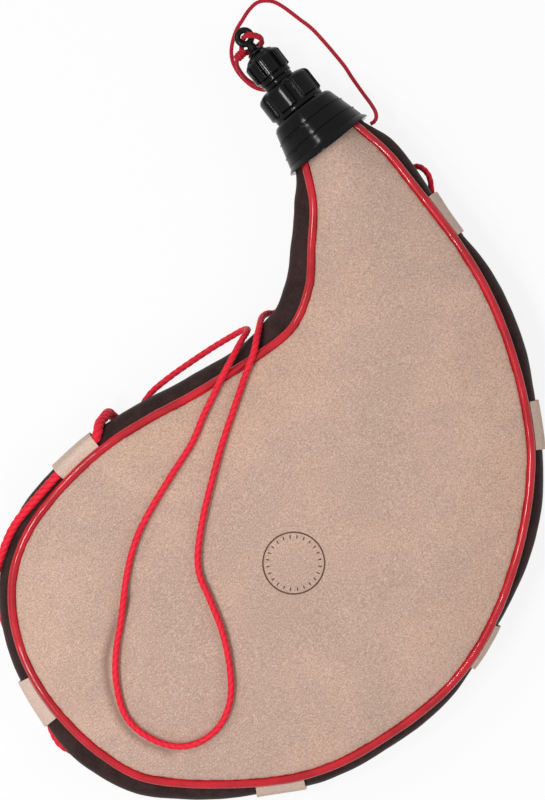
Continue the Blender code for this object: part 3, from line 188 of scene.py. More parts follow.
KEEPER_ROUTE = [
    (0.1783, 0.1690, 0.0285), (0.1807, 0.1688, 0.0284), (0.1834, 0.1701, 0.0270), (0.1855, 0.1734, 0.0232),
    (0.1869, 0.1790, 0.0168), (0.1879, 0.1864, 0.0092), (0.1887, 0.1930, 0.0042), (0.1893, 0.1996, 0.0018),
    (0.1900, 0.2103, 0.0015), (0.1888, 0.2340, 0.0015), (0.1861, 0.2459, 0.0015), (0.1829, 0.2577, 0.0015),
    (0.1799, 0.2639, 0.0015), (0.1753, 0.2678, 0.0015), (0.1707, 0.2690, 0.0015), (0.1648, 0.2681, 0.0015),
    (0.1588, 0.2660, 0.0015), (0.1529, 0.2637, 0.0015), (0.1470, 0.2598, 0.0015), (0.1423, 0.2552, 0.0015),
    (0.1393, 0.2498, 0.0015), (0.1381, 0.2434, 0.0015), (0.1384, 0.2370, 0.0015), (0.1399, 0.2310, 0.0015),
    (0.1429, 0.2264, 0.0016), (0.1465, 0.2238, 0.0019), (0.1503, 0.2228, 0.0025),
]
CAP_KEEPER_ROUTE = [
    (0.1509, 0.2239, 0.0049), (0.1479, 0.2255, 0.0055), (0.1441, 0.2280, 0.0059), (0.1408, 0.2318, 0.0070),
    (0.1389, 0.2360, 0.0104), (0.1383, 0.2404, 0.0154), (0.1386, 0.2442, 0.0208), (0.1399, 0.2464, 0.0250),
]
EYE_LOOP_ROUTE = [
    (0.1450, 0.2482, 0.0275), (0.1481, 0.2520, 0.0251), (0.1515, 0.2542, 0.0270), (0.1520, 0.2542, 0.0300),
    (0.1545, 0.2524, 0.0324), (0.1575, 0.2494, 0.0316), (0.1586, 0.2468, 0.0290), (0.1576, 0.2456, 0.0255),
    (0.1525, 0.2456, 0.0219), (0.1481, 0.2466, 0.0229), (0.1445, 0.2476, 0.0255),
]
CARRY_KNOT_PLACE = (-0.0389, 0.1176, 0.0047)
TETHER_KNOT_PLACE = (0.1530, 0.2226, 0.0027)
KEEPER_KNOT_PLACE = (0.1432, 0.2473, 0.0270)


# Camera: straight down on the bag, turned so that the nozzle points to the upper left

PHOTO_UP = Vector((0.6157, 0.788, 0.0))
UPRIGHT = Vector((0.0, 0.0, 1.0))
CAMERA_PLACE = (0.03454, 0.07765, 1.4)


def add_object(name, data):
    piece = bpy.data.objects.new(name, data)
    bpy.context.scene.collection.objects.link(piece)
    return piece


def make_camera():
    data = bpy.data.cameras.new("photo_camera")
    data.sensor_fit = "VERTICAL"
    data.sensor_height = 36.0
    data.lens = 106.16
    camera = add_object("photo_camera", data)
    up = PHOTO_UP.normalized()
    turned = Matrix((up.cross(UPRIGHT), up, UPRIGHT)).transposed()
    camera.matrix_world = Matrix.Translation(CAMERA_PLACE) @ turned.to_4x4()
    bpy.context.scene.camera = camera


# Helpers for curves, cords and meshes

STRANDS = 3
GROOVE = 0.17


def smooth_step(value):
    share = min(max(value, 0.0), 1.0)
    return share * share * (3.0 - 2.0 * share)


def bell(away, width):
    return np.exp(-(away / width) ** 2)


def wobble(*place):
    return noise.noise(Vector(place))


def circle(sides):
    """Cosine and sine of evenly spaced turns."""
    return [(cos(tau * k / sides), sin(tau * k / sides)) for k in range(sides)]


def smooth_curve(points, steps):
    """A Catmull-Rom curve through every point."""
    rows = [np.array(point, dtype=float) for point in points]
    rows = [2 * rows[0] - rows[1]] + rows + [2 * rows[-1] - rows[-2]]
    curve = []
    for a, b, c, d in zip(rows, rows[1:], rows[2:], rows[3:]):
        for step in range(steps):
            t = step / steps
            curve.append(0.5 * (2 * b + (c - a) * t + (2 * a - 5 * b + 4 * c - d) * t * t
                                + (3 * b - a - 3 * c + d) * t ** 3))
    return np.array(curve + [rows[-2]])


def lengths_along(curve):
    return np.concatenate([[0.0], np.cumsum(norm(np.diff(curve, axis=0), axis=1))])


def evenly(curve, spacing, count=0):
    travelled = lengths_along(curve)
    count = count or max(int(round(travelled[-1] / spacing)), 2)
    places = np.linspace(0.0, travelled[-1], count + 1)
    return np.stack([np.interp(places, travelled, curve[:, k]) for k in range(curve.shape[1])], axis=1)


def seat(piece, body, *nodes):
    """Fixes a piece to a body, in the place of the nodes' solids."""
    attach(piece, body)
    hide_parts(*nodes)


def tag(piece, name, values):
    """Keeps a value for every vertex, for a material to read."""
    kept = piece.data.attributes.new(name, "FLOAT", "POINT")
    kept.data.foreach_set("value", np.array(values, dtype=np.float32))


def refine(piece, **settings):
    fine = piece.modifiers.new("fine", "SUBSURF")
    for key, value in settings.items():
        setattr(fine, key, value)
    fine.levels = fine.render_levels = 1


def add_mesh(name, verts, faces, finish, slot):
    mesh = bpy.data.meshes.new(name)
    mesh.from_pydata([tuple(map(float, v)) for v in verts], [], faces)
    mesh.validate()
    bm = bmesh.new()
    bm.from_mesh(mesh)
    bmesh.ops.recalc_face_normals(bm, faces=bm.faces)
    bm.to_mesh(mesh)
    bm.free()
    mesh.shade_smooth()
    piece = add_object(name, mesh)
    mesh.materials.append(finish)
    return piece


def ring_faces(count, sides, closed=False):
    """Faces between rings of vertices that follow each other."""
    faces = []
    for i in range(count if closed else count - 1):
        for k in range(sides):
            a, b = i * sides + k, i * sides + (k + 1) % sides
            faces.append((a, b, (b + sides) % (count * sides), (a + sides) % (count * sides)))
    return faces


def joined(parts):
    """The vertices and faces of several parts as one."""
    verts, faces = [], []
    for more_verts, more_faces in parts:
        faces += [tuple(len(verts) + k for k in face) for face in more_faces]
        verts += more_verts
    return verts, faces


def section_frames(path):
    """Directions across a path, carried along it without twist."""
    along = np.gradient(path, axis=0)
    along /= norm(along, axis=1)[:, None]
    across = np.cross(along[0], [0.3, 0.2, 1.0])
    rows = []
    for way in along:
        across = across - way * np.dot(across, way)
        across = across / norm(across)
        rows.append((across.copy(), np.cross(way, across)))
    return rows


def rope_rings(path, radius, sides, pitch, groove):
    """Vertices, faces and groove depths of a laid cord along a path. The radius may change along it."""
    frames = section_frames(path)
    travelled = lengths_along(path)
    sizes = np.broadcast_to(radius, len(path))
    verts, depth = [], []
    for place, (u, v), travel, size in zip(path, frames, travelled, sizes):
        lay = tau * travel / pitch
        for k in range(sides):
            turn = tau * k / sides
            lobe = abs(cos(STRANDS * (turn - lay) / 2))
            dip = (1.0 - lobe) ** 1.35
            r = size * (1.0 - groove * dip)
            verts.append(place + r * (u * cos(turn) + v * sin(turn)))
            depth.append(dip)
    faces = ring_faces(len(path), sides)
    for ring, beside in ((0, 1), (len(path) - 1, -2)):
        faces += [(ring * sides + k, ring * sides + (k + 1) % sides, len(verts)) for k in range(sides)]
        verts.append(path[ring] + (path[ring] - path[beside]) * 0.5)
        depth.append(0.4)
    return (verts, faces), depth


def rope(name, path, radius, look, pitch=0.0135, groove=GROOVE, sides=20):
    body, depth = rope_rings(path, radius, sides, pitch, groove)
    piece = add_mesh(name, *body, *look)
    # The groove depths darken the cord's colour as painted shade
    tag(piece, "groove", depth)
    return piece


# Materials

class Nodes:
    """Shorthand for building the nodes of a material or a world."""

    def __init__(self, owner, shader):
        owner.use_nodes = True
        self.tree = owner.node_tree
        self.shader = self.tree.nodes[shader]

    def add(self, kind, **settings):
        node = self.tree.nodes.new(kind)
        for key, value in settings.items():
            setattr(node, key, value)
        return node

    def put(self, socket, value):
        if isinstance(value, bpy.types.NodeSocket):
            self.tree.links.new(value, socket)
        else:
            socket.default_value = value

    def fill(self, node, output, **entries):
        """Sets or links a node's inputs, named with _ for a space, and gives one of its outputs."""
        for key, value in entries.items():
            self.put(node.inputs[key.replace("_", " ")], value)
        return node.outputs[output]

    def ramp(self, value, low, high, start=0.0, end=1.0):
        node = self.add("ShaderNodeMapRange", interpolation_type="SMOOTHSTEP")
        return self.fill(node, "Result", Value=value, From_Min=low, From_Max=high, To_Min=start, To_Max=end)

    def math(self, kind, a, b=0.0):
        node = self.add("ShaderNodeMath", operation=kind)
        self.put(node.inputs[0], a)
        self.put(node.inputs[1], b)
        return node.outputs[0]

    def seen(self):
        """1 for what the camera sees, also in a reflection or through a surface."""
        path = self.add("ShaderNodeLightPath").outputs
        share = path["Is Camera Ray"]
        for kind in ("Is Glossy Ray", "Is Transmission Ray"):
            share = self.math("MAXIMUM", share, path[kind])
        return share


class Finish(Nodes):
    """A material, with patterns that lie in the object's own space."""

    def __init__(self, name, roughness, **constants):
        self.finish = bpy.data.materials.new(name)
        super().__init__(self.finish, "Principled BSDF")
        self.fill(self.shader, 0, Roughness=roughness, **constants)
        self.place = self.add("ShaderNodeTexCoord").outputs["Object"]

    def noise(self, scale, detail, rough, distortion=0.0):
        return self.fill(self.add("ShaderNodeTexNoise"), "Fac", Vector=self.place, Scale=scale,
                         Detail=detail, Roughness=rough, Distortion=distortion)

    def cells(self, scale):
        return self.fill(self.add("ShaderNodeTexVoronoi"), "Distance", Vector=self.place, Scale=scale)

    def kept(self, name):
        """A value that tag() has kept for every vertex."""
        return self.add("ShaderNodeAttribute", attribute_name=name).outputs["Fac"]

    def apart(self, a, b):
        return self.math("ABSOLUTE", self.math("SUBTRACT", a, b))

    def mix(self, share, a, b):
        node = self.add("ShaderNodeMix", data_type="RGBA")
        self.put(node.inputs["Factor"], share)
        for socket, value in ((node.inputs[6], a), (node.inputs[7], b)):
            self.put(socket, (*value, 1.0) if isinstance(value, tuple) else value)
        return node.outputs[2]

    def layer(self, base, value, low, high, start, end, colour):
        """Lays a colour over the base, from share start to share end as the value goes from low to high."""
        return self.mix(self.ramp(value, low, high, start, end), base, colour)

    def colour(self, value):
        self.put(self.shader.inputs["Base Color"], value)

    def roughen(self, *ramp):
        self.put(self.shader.inputs["Roughness"], self.ramp(*ramp))

    def bump(self, *layers):
        """Layers are (height, strength, distance)."""
        normal = None
        for height, strength, distance in layers:
            under = {"Normal": normal} if normal else {}
            normal = self.fill(self.add("ShaderNodeBump"), "Normal", Strength=strength, Distance=distance,
                               Height=height, **under)
        self.put(self.shader.inputs["Normal"], normal)


STAMP_CENTRE = (-0.01315, -0.00311)
STAMP_RADIUS = 0.0176
STAMP_TICKS = 24
TICK_INSET = 0.0026


def stamp_ink(n, grit):
    """A printed ring with ticks inside it, thinned by the nap."""
    split = n.add("ShaderNodeSeparateXYZ")
    n.put(split.inputs[0], n.place)
    x = n.math("SUBTRACT", split.outputs["X"], STAMP_CENTRE[0])
    y = n.math("SUBTRACT", split.outputs["Y"], STAMP_CENTRE[1])
    away = n.math("SQRT", n.math("ADD", n.math("MULTIPLY", x, x), n.math("MULTIPLY", y, y)))
    ring = n.ramp(n.apart(away, STAMP_RADIUS), 0.00034, 0.00056, 1.0, 0.0)
    turn = n.math("MULTIPLY", n.math("ARCTAN2", y, x), STAMP_TICKS / tau)
    gap = n.apart(n.math("FRACT", n.math("ADD", turn, STAMP_TICKS + 0.5)), 0.5)
    tick = n.ramp(n.math("MULTIPLY", gap, STAMP_RADIUS * tau / STAMP_TICKS), 0.0003, 0.00052, 1.0, 0.0)
    inner = n.ramp(n.apart(away, STAMP_RADIUS - TICK_INSET), 0.00085, 0.0011, 1.0, 0.0)
    ink = n.math("MAXIMUM", ring, n.math("MULTIPLY", tick, inner))
    return n.math("MULTIPLY", ink, n.ramp(grit, 0.4, 0.62, 1.0, 0.72))


def suede_material(name, stamped_and_shaded=False, pale=0.0):
    n = Finish(name, 0.95, Sheen_Weight=0.12, Sheen_Roughness=0.45, Sheen_Tint=(0.93, 0.82, 0.74, 1.0),
               Specular_IOR_Level=0.12)
    patches = n.noise(11.0, 3.0, 0.55, 0.6)
    warmth = n.noise(9.0, 2.0, 0.5, 0.2)
    clouds = n.noise(46.0, 4.0, 0.6, 0.3)
    nap = n.noise(1080.0, 3.0, 0.74)
    grit = n.noise(2500.0, 2.0, 0.7)
    base = n.mix(n.ramp(patches, 0.38, 0.62), (0.52, 0.362, 0.288), (0.612, 0.41, 0.322))
    for layer in (
            (warmth, 0.5, 0.66, 0.0, 0.6, (0.615, 0.388, 0.284)),
            (clouds, 0.34, 0.7, 0.0, 0.6, (0.485, 0.34, 0.272)),
            (nap, 0.3, 0.52, 0.88, 0.0, (0.345, 0.232, 0.182)),
            (nap, 0.5, 0.7, 0.0, 0.8, (0.75, 0.57, 0.47)),
            (grit, 0.28, 0.48, 0.6, 0.0, (0.29, 0.195, 0.155))):
        base = n.layer(base, *layer)
    if pale:
        base = n.mix(pale, base, (0.86, 0.69, 0.59))
    if stamped_and_shaded:
        # Painted shade: the suede darkened along the crease under the sling and beside the sling's lower
        # left strand
        base = n.layer(base, n.kept("crease"), 0.05, 1.0, 0.0, 0.8, (0.3, 0.195, 0.15))
        base = n.mix(stamp_ink(n, grit), base, (0.046, 0.018, 0.01))
    n.colour(base)
    n.bump((clouds, 0.35, 0.0008), (nap, 0.55, 0.0005), (grit, 0.35, 0.00022))
    return n.finish


def gusset_material():
    n = Finish("dark_leather", 0.5, Specular_IOR_Level=0.05)
    grain = n.cells(1050.0)
    folds = n.noise(95.0, 4.0, 0.6, 0.8)
    fine = n.noise(900.0, 3.0, 0.6)
    base = n.mix(n.ramp(folds, 0.35, 0.68), (0.026, 0.0142, 0.0132), (0.043, 0.024, 0.022))
    n.colour(n.layer(base, fine, 0.5, 0.72, 0.0, 0.45, (0.068, 0.041, 0.036)))
    n.roughen(folds, 0.3, 0.7, 0.44, 0.6)
    n.bump((folds, 0.35, 0.0009), (grain, 0.4, 0.00025), (fine, 0.25, 0.00015))
    return n.finish


def piping_material():
    n = Finish("piping_coat", 0.2, Specular_IOR_Level=0.12, Coat_Weight=0.45, Coat_Roughness=0.07)
    tone = n.noise(60.0, 3.0, 0.55)
    fine = n.noise(520.0, 3.0, 0.6, 0.5)
    base = n.mix(n.ramp(tone, 0.34, 0.68), (0.4, 0.0035, 0.0105), (0.545, 0.0068, 0.0185))
    n.colour(n.layer(base, fine, 0.56, 0.78, 0.0, 0.35, (0.33, 0.003, 0.008)))
    n.roughen(fine, 0.3, 0.72, 0.16, 0.3)
    n.bump((n.noise(260.0, 3.0, 0.55, 0.9), 0.22, 0.0003), (fine, 0.18, 0.0001))
    return n.finish


def cord_material(name, light, dark, groove_shade, scale):
    n = Finish(name, 0.55, Sheen_Weight=0.06, Sheen_Roughness=0.4, Specular_IOR_Level=0.15)
    groove = n.kept("groove")
    fibre = n.noise(scale, 4.0, 0.7, 1.2)
    base = n.mix(n.ramp(fibre, 0.32, 0.68), dark, light)
    base = n.layer(base, n.noise(80.0, 2.0, 0.5), 0.35, 0.7, 0.0, 0.35, dark)
    # Painted shade: the cord darkens down the grooves between its strands
    n.colour(n.layer(base, groove, 0.25, 0.98, 0.0, 0.66, groove_shade))
    n.roughen(fibre, 0.3, 0.7, 0.46, 0.64)
    n.bump((fibre, 0.45, 0.00022), (n.noise(scale * 2.4, 3.0, 0.7), 0.3, 0.0001))
    return n.finish


def plastic_material(name, colour, roughness):
    n = Finish(name, roughness, Specular_IOR_Level=0.12)
    flow = n.noise(120.0, 3.0, 0.5)
    grain = n.noise(2400.0, 3.0, 0.6)
    scuffs = n.noise(420.0, 5.0, 0.7, 2.4)
    base = n.mix(n.ramp(flow, 0.36, 0.7), colour, tuple(c * 1.5 for c in colour))
    n.colour(n.layer(base, scuffs, 0.63, 0.74, 0.0, 0.35, tuple(c * 2.0 + 0.002 for c in colour)))
    n.roughen(scuffs, 0.38, 0.7, roughness * 0.9, roughness * 1.3)
    n.bump((flow, 0.1, 0.0006), (grain, 0.06, 0.00005))
    return n.finish


def rubber_material(name, low, high, roughness):
    n = Finish(name, roughness)
    cloud = n.noise(70.0, 4.0, 0.6)
    fine = n.noise(1200.0, 3.0, 0.6)
    n.colour(n.mix(n.ramp(cloud, 0.34, 0.7), low, high))
    n.roughen(fine, 0.3, 0.7, roughness * 0.85, roughness * 1.15)
    n.bump((cloud, 0.2, 0.0006), (fine, 0.25, 0.0001))
    return n.finish


def floor_material():
    n = Finish("pale_floor", 0.9, Base_Color=(0.86, 0.86, 0.86, 1.0))
    blend = n.add("ShaderNodeMixShader")
    n.put(blend.inputs[0], n.math("MULTIPLY", n.seen(), 0.86))
    n.put(blend.inputs[1], n.shader.outputs[0])
    n.put(blend.inputs[2], n.fill(n.add("ShaderNodeEmission"), 0, Color=(1.0, 1.0, 1.0, 1.0)))
    n.put(n.tree.nodes["Material Output"].inputs["Surface"], blend.outputs[0])
    return n.finish


SUEDE = suede_material("suede_face", stamped_and_shaded=True)
SUEDE_PLAIN = suede_material("suede_plain")
SUEDE_EDGE = suede_material("suede_tab", pale=0.38)
DARK = gusset_material()
PIPING = piping_material()
# The third colour of each cord is its painted shade in the grooves
CARRY = (cord_material("carry_cord", (0.9, 0.03, 0.06), (0.74, 0.014, 0.034),
                       (0.46, 0.006, 0.016), 900.0), "carry_cord_red")
KEEPER = (cord_material("keeper_cord", (0.52, 0.016, 0.036), (0.4, 0.01, 0.024),
                        (0.19, 0.004, 0.01), 1500.0), "keeper_cord_red")
PLASTIC = plastic_material("black_plastic", (0.0026, 0.0026, 0.0032), 0.15)
EYE_PLASTIC = plastic_material("eye_plastic", (0.0032, 0.0046, 0.0032), 0.22)
LATEX = rubber_material("latex", (0.52, 0.4, 0.225), (0.66, 0.54, 0.34), 0.42)
SEAL = rubber_material("seal_rubber", (0.47, 0.47, 0.445), (0.58, 0.58, 0.555), 0.62)


# Bag shape, the same formulas as the part's source

def collar_inner(depth):
    return COLLAR_FOOT_RADIUS - COLLAR_WALL - COLLAR_SLOPE * depth


def neck_seam(depth):
    radius = collar_inner(depth) - NECK_FIT - PIPING_RADIUS
    return radius * cos(SEAM_ANGLE), radius * sin(SEAM_ANGLE)


def seam_points():
    half_rim, half_end = neck_seam(0.0)[0], neck_seam(NECK_DEPTH)[0]
    left = [(NOZZLE_ACROSS - half_end, RIM_HEIGHT + NECK_DEPTH), (NOZZLE_ACROSS - half_rim, RIM_HEIGHT)]
    right = [(NOZZLE_ACROSS + half_rim, RIM_HEIGHT), (NOZZLE_ACROSS + half_end, RIM_HEIGHT + NECK_DEPTH)]
    return left + [(BAG_SPAN * a, BAG_REACH * b) for a, b in SEAM_SHARES] + right


SEAM = smooth_curve(seam_points(), 24)
SEAM_TRAVEL = lengths_along(SEAM)
SEAM_LENGTH = SEAM_TRAVEL[-1]
BULGE_CURVE = smooth_curve(list(zip(np.linspace(0.0, 1.0, len(BULGE_SHARES)), BULGE_SHARES)), 8)


def on_seam(place):
    return np.array([np.interp(place, SEAM_TRAVEL, SEAM[:, k]) for k in range(2)])


def seam_at(share):
    place = share * SEAM_LENGTH
    along = on_seam(min(place + 0.001, SEAM_LENGTH)) - on_seam(max(place - 0.001, 0.0))
    along = along / norm(along)
    return on_seam(place), np.array([along[1], -along[0]])


def neck_weight(height):
    return smooth_step((height - RIM_HEIGHT + NECK_BLEND) / NECK_BLEND)


def seam_rise(height):
    weight = neck_weight(height)
    return (1.0 - weight) * SEAM_RISE + weight * neck_seam(max(height - RIM_HEIGHT, 0.0))[1]


def seam_tilt(height):
    weight = neck_weight(height)
    return (1.0 - weight) * BELLY_TILT + weight * NECK_TILT


def seam_stand(share):
    """How far up the bag a place on the seam is, its rise and its tilt."""
    height = seam_at(share)[0][1]
    return height, seam_rise(height), seam_tilt(height)


def leaned(outward, up, tilt):
    return (outward * cos(tilt) + up * sin(tilt), up * cos(tilt) - outward * sin(tilt))


def gusset_reach(share, height):
    belly = BULGE * np.interp(share, BULGE_CURVE[:, 0], BULGE_CURVE[:, 1])
    depth = max(height - RIM_HEIGHT, 0.0)
    neck = collar_inner(depth) - NECK_FIT - neck_seam(depth)[0]
    weight = smooth_step((height - RIM_HEIGHT + BULGE_BLEND) / BULGE_BLEND)
    return (1.0 - weight) * belly + weight * neck - GUSSET_THICK / 2


def notch_drop():
    return PIPING_RADIUS + FIT + GUSSET_THICK / 2


def bulge_place(share, angle):
    height, rise, tilt = seam_stand(share)
    root_out, root_up = leaned(NOTCH_OUTER, -notch_drop(), tilt)
    wide = gusset_reach(share, height) - root_out
    tall = rise + root_up
    facing = np.array([tall * cos(angle), wide * sin(angle)])
    return root_out + wide * cos(angle), tall * sin(angle), facing / norm(facing)


def in_space(share, out, up):
    point, outward = seam_at(share)
    flat = point + outward * out
    return np.array((flat[0], flat[1], AXIS_HEIGHT + up))


def sideways(rows):
    """Directions across a curve in the plane."""
    along = np.gradient(rows, axis=0)
    return np.stack([-along[:, 1], along[:, 0]], axis=1) / norm(along, axis=1)[:, None]


def thickened(section, thick):
    rows = np.array(section)
    across = sideways(rows)
    return rows + across * thick / 2, rows - across * thick / 2


def layered(name, faces_out, faces_in, finish, slot):
    rows, columns = len(faces_out), len(faces_out[0])
    verts = [point for grid in (faces_out, faces_in) for row in grid for point in row]
    low = rows * columns
    faces = []
    for r in range(rows - 1):
        for c in range(columns - 1):
            a = r * columns + c
            faces.append((a, a + 1, a + columns + 1, a + columns))
            faces.append((low + a, low + a + columns, low + a + columns + 1, low + a + 1))
        for c in (0, columns - 1):
            a = r * columns + c
            faces.append((a, a + columns, low + a + columns, low + a))
    for r in (0, rows - 1):
        for c in range(columns - 1):
            a = r * columns + c
            faces.append((a, a + 1, low + a + 1, low + a))
    return add_mesh(name, verts, faces, finish, slot)


# Fine leather pieces

EDGE_STEPS = 250
SHEET_STEP = 0.0054
NECK_FOLD = 0.109
FOLD_REACH = 0.01
FOLD_SWELL = 0.0017
GUSSET_STEPS = 420
PIPING_STEPS = 560
COAT = 0.0001
TAB_GAP = 0.0001
TAB_CUT_ANGLE = radians(50.0)
CREASE_STEP = 0.0022
CREASE_CLEAR = 0.0085
CREASE_BAND = 0.0068
CREASE = [(-0.1017, 0.0379), (-0.1185, 0.0289), (-0.1313, 0.019), (-0.1393, 0.0073), (-0.1452, -0.0084),
          (-0.1464, -0.0223), (-0.1436, -0.033), (-0.1375, -0.0435)]


def distance_to(points, line):
    """Least distance of each point to a polyline in the plane."""
    best = np.full(len(points), 1.0)
    for a, b in zip(line, line[1:]):
        side = b - a
        share = np.clip(((points - a) @ side) / (side @ side), 0.0, 1.0)
        best = np.minimum(best, norm(points - (a + share[:, None] * side), axis=1))
    return best


def panel_sheet():
    """Flat points, triangles and swell of both panels, for one unit of belly and of neck crown."""
    inset = PIPING_RADIUS - FIT
    shares = np.linspace(0.0, 1.0, 12 * EDGE_STEPS + 1)
    inside = [share for share in shares if seam_at(share)[0][1] <= RIM_HEIGHT + NECK_DEPTH]
    edge = []
    for share in np.linspace(inside[0], inside[-1], EDGE_STEPS + 1):
        point, outward = seam_at(share)
        edge.append(point + outward * leaned(-inset, PANEL_THICK / 2, seam_tilt(point[1]))[0])
    across = edge[0] - edge[-1]
    line = [edge[-1] + across * k / 8 for k in range(1, 8)]
    loop = np.array(edge + line)
    after = np.roll(loop, -1, axis=0)
    low, high = loop.min(axis=0), loop.max(axis=0)
    points = []
    for row, height in enumerate(np.arange(low[1], high[1], SHEET_STEP * sqrt(3.0) / 2)):
        above = (loop[:, 1] > height) != (after[:, 1] > height)
        run = (after[:, 0] - loop[:, 0]) / np.where(above, after[:, 1] - loop[:, 1], 1.0)
        across = np.sort((loop[:, 0] + run * (height - loop[:, 1]))[above])
        for x in np.arange(low[0] + (row % 2) * SHEET_STEP / 2, high[0], SHEET_STEP):
            if int(np.sum(across > x)) % 2 == 1:
                points.append((x, height))
    points = np.array(points)
    points = points[distance_to(points, loop[::2]) > SHEET_STEP * 0.5]
    fold = evenly(smooth_curve(CREASE, 8), CREASE_STEP)
    beside = sideways(fold)
    points = points[distance_to(points, fold) > CREASE_CLEAR]
    lines = [fold + beside * away for away in np.linspace(-CREASE_BAND, CREASE_BAND, 9)]
    points = np.concatenate([points] + lines)
    every = [Vector(p) for p in list(loop) + list(points)]
    result = delaunay_2d_cdt(every, [], [list(range(len(loop)))], 1, 1e-6)
    flat = np.array([[v[0], v[1]] for v in result[0]])
    triangles = np.array([list(f) for f in result[2]])
    count = len(flat)
    stiffness = np.zeros((count, count))
    loads = np.zeros((count, 2))
    half = neck_seam(0.0)[0]
    for tri in triangles:
        corner = flat[tri]
        area = abs(np.cross(corner[1] - corner[0], corner[2] - corner[0])) / 2
        weight = neck_weight(corner[:, 1].mean())
        bed = (1.0 - weight) / CROWN_EDGE ** 2
        for k in range(3):
            i, j, o = tri[k], tri[(k + 1) % 3], tri[(k + 2) % 3]
            a, b = flat[i] - flat[o], flat[j] - flat[o]
            cotangent = np.dot(a, b) / abs(np.cross(a, b)) / 2
            stiffness[i, i] += cotangent + bed * area / 6
            stiffness[j, j] += cotangent + bed * area / 6
            stiffness[i, j] -= cotangent
            stiffness[j, i] -= cotangent
            loads[i, 0] += (1.0 - weight) / CROWN_EDGE ** 2 * area / 3
            loads[i, 1] += weight * 2 / half ** 2 * area / 3
    held = list(range(len(edge)))
    stiffness[held, :] = 0.0
    stiffness[held, held] = 1.0
    loads[held, :] = 0.0
    return flat, triangles, np.linalg.solve(stiffness, loads), np.array(edge)


def panel_relief(flat, edge, side):
    """Dents, creases and puckers of the worn suede, mostly inward, and how much painted shade the colour
    gets along the crease and beside the sling.
    """
    seam_away = distance_to(flat, edge[::2])
    relief = np.zeros(len(flat))
    cord = np.array([p[:2] for p in CARRY_ROUTE if p[2] > 0.0475])
    cord_away = distance_to(flat, smooth_curve(cord, 3)) if side > 0 else np.full(len(flat), 1.0)
    crease = smooth_curve(CREASE, 4)
    crease_away = distance_to(flat, crease)
    nearest = np.array([np.argmin(np.sum((edge - p) ** 2, axis=1)) for p in flat])
    for k, (x, y) in enumerate(flat):
        inner = smooth_step(seam_away[k] / 0.014)
        soft = wobble(x * 22.0, y * 22.0, side * 3.1)
        mid = wobble(x * 60.0, y * 60.0, side * 7.7)
        relief[k] = inner * (0.00045 * soft - 0.0003 + 0.00016 * mid)
        travel = nearest[k] / EDGE_STEPS * SEAM_LENGTH
        ripple = wobble(travel * 70.0, side * 5.0, 0.4)
        fade = bell(seam_away[k] - 0.005, 0.006)
        relief[k] += fade * (0.00034 * ripple - 0.00012)
    if side > 0:
        relief -= 0.00055 * bell(cord_away - 0.004, 0.0045)
        relief -= 0.0017 * bell(crease_away, 0.002)
        relief += 0.00035 * bell(crease_away - 0.0052, 0.0026)
    # Painted shade: a dark band along the crease and beside the lower left of the sling, given as the second
    # value
    left = np.clip((-0.05 - flat[:, 0]) / 0.03, 0.0, 1.0)
    beside = 0.32 * bell(cord_away - 0.0055, 0.003) * left
    return relief, np.maximum(bell(crease_away, 0.0017), beside)


def make_panels():
    flat, triangles, swell, edge = panel_sheet()
    for name, side, crown, neck, finish, node in (
            ("front_suede", 1, FRONT_CROWN, NECK_CROWN, SUEDE, "front_panel"),
            ("back_suede", -1, BACK_CROWN, NECK_SAG, SUEDE_PLAIN, "back_panel")):
        rise = swell @ np.array([crown, neck])
        relief, crease = panel_relief(flat, edge, side)
        verts = []
        for k, (x, y) in enumerate(flat):
            lift = leaned(-PIPING_RADIUS - FIT, PANEL_THICK / 2, seam_tilt(y))[1]
            height = AXIS_HEIGHT + side * (seam_rise(y) + lift + rise[k] + relief[k])
            verts.append((x, y, max(height, 0.0)))
        faces = [tuple(int(i) for i in tri) for tri in triangles]
        if side < 0:
            faces = [face[::-1] for face in faces]
        mesh = bpy.data.meshes.new(name)
        mesh.from_pydata(verts, [], faces)
        mesh.shade_smooth()
        piece = add_object(name, mesh)
        # Painted shade along the crease and beside the sling, kept for the front suede's colour
        tag(piece, "crease", crease)
        mesh.materials.append(finish)
        wall = piece.modifiers.new("thickness", "SOLIDIFY")
        wall.thickness = PANEL_THICK
        wall.offset = -1.0
        refine(piece)
        seat(piece, "bag", node)


def make_gusset():
    outer, inner = [], []
    for share in np.linspace(0.0, 1.0, GUSSET_STEPS + 1):
        _, rise, tilt = seam_stand(share)
        flange = PANEL_THICK / 2 + FIT + GUSSET_THICK / 2
        half = [leaned(-FLANGE, -flange, tilt), leaned(-NOTCH_INNER, -notch_drop(), tilt)]
        front = [(out, up + rise) for out, up in half]
        travel = share * SEAM_LENGTH
        swell = FOLD_SWELL * bell(share - NECK_FOLD, FOLD_REACH)
        bulge = []
        for turn in np.linspace(pi / 2, -pi / 2, 19):
            out, up, facing = bulge_place(share, turn)
            crease = wobble(travel * 34.0, up * 60.0, 1.3)
            fold = wobble(travel * 110.0, up * 46.0, 4.2)
            dip = cos(turn) * (0.0003 * crease + 0.00018 * fold - 0.00022 + swell)
            bulge.append((out + facing[0] * dip, up + facing[1] * dip))
        back = [(out, -up) for out, up in reversed(front)]
        face_out, face_in = thickened(front + bulge + back, GUSSET_THICK)
        outer.append([in_space(share, out, up) for out, up in face_out])
        inner.append([in_space(share, out, up) for out, up in face_in])
    seat(layered("dark_gusset", outer, inner, DARK, "gusset_leather"), "bag", "gusset")


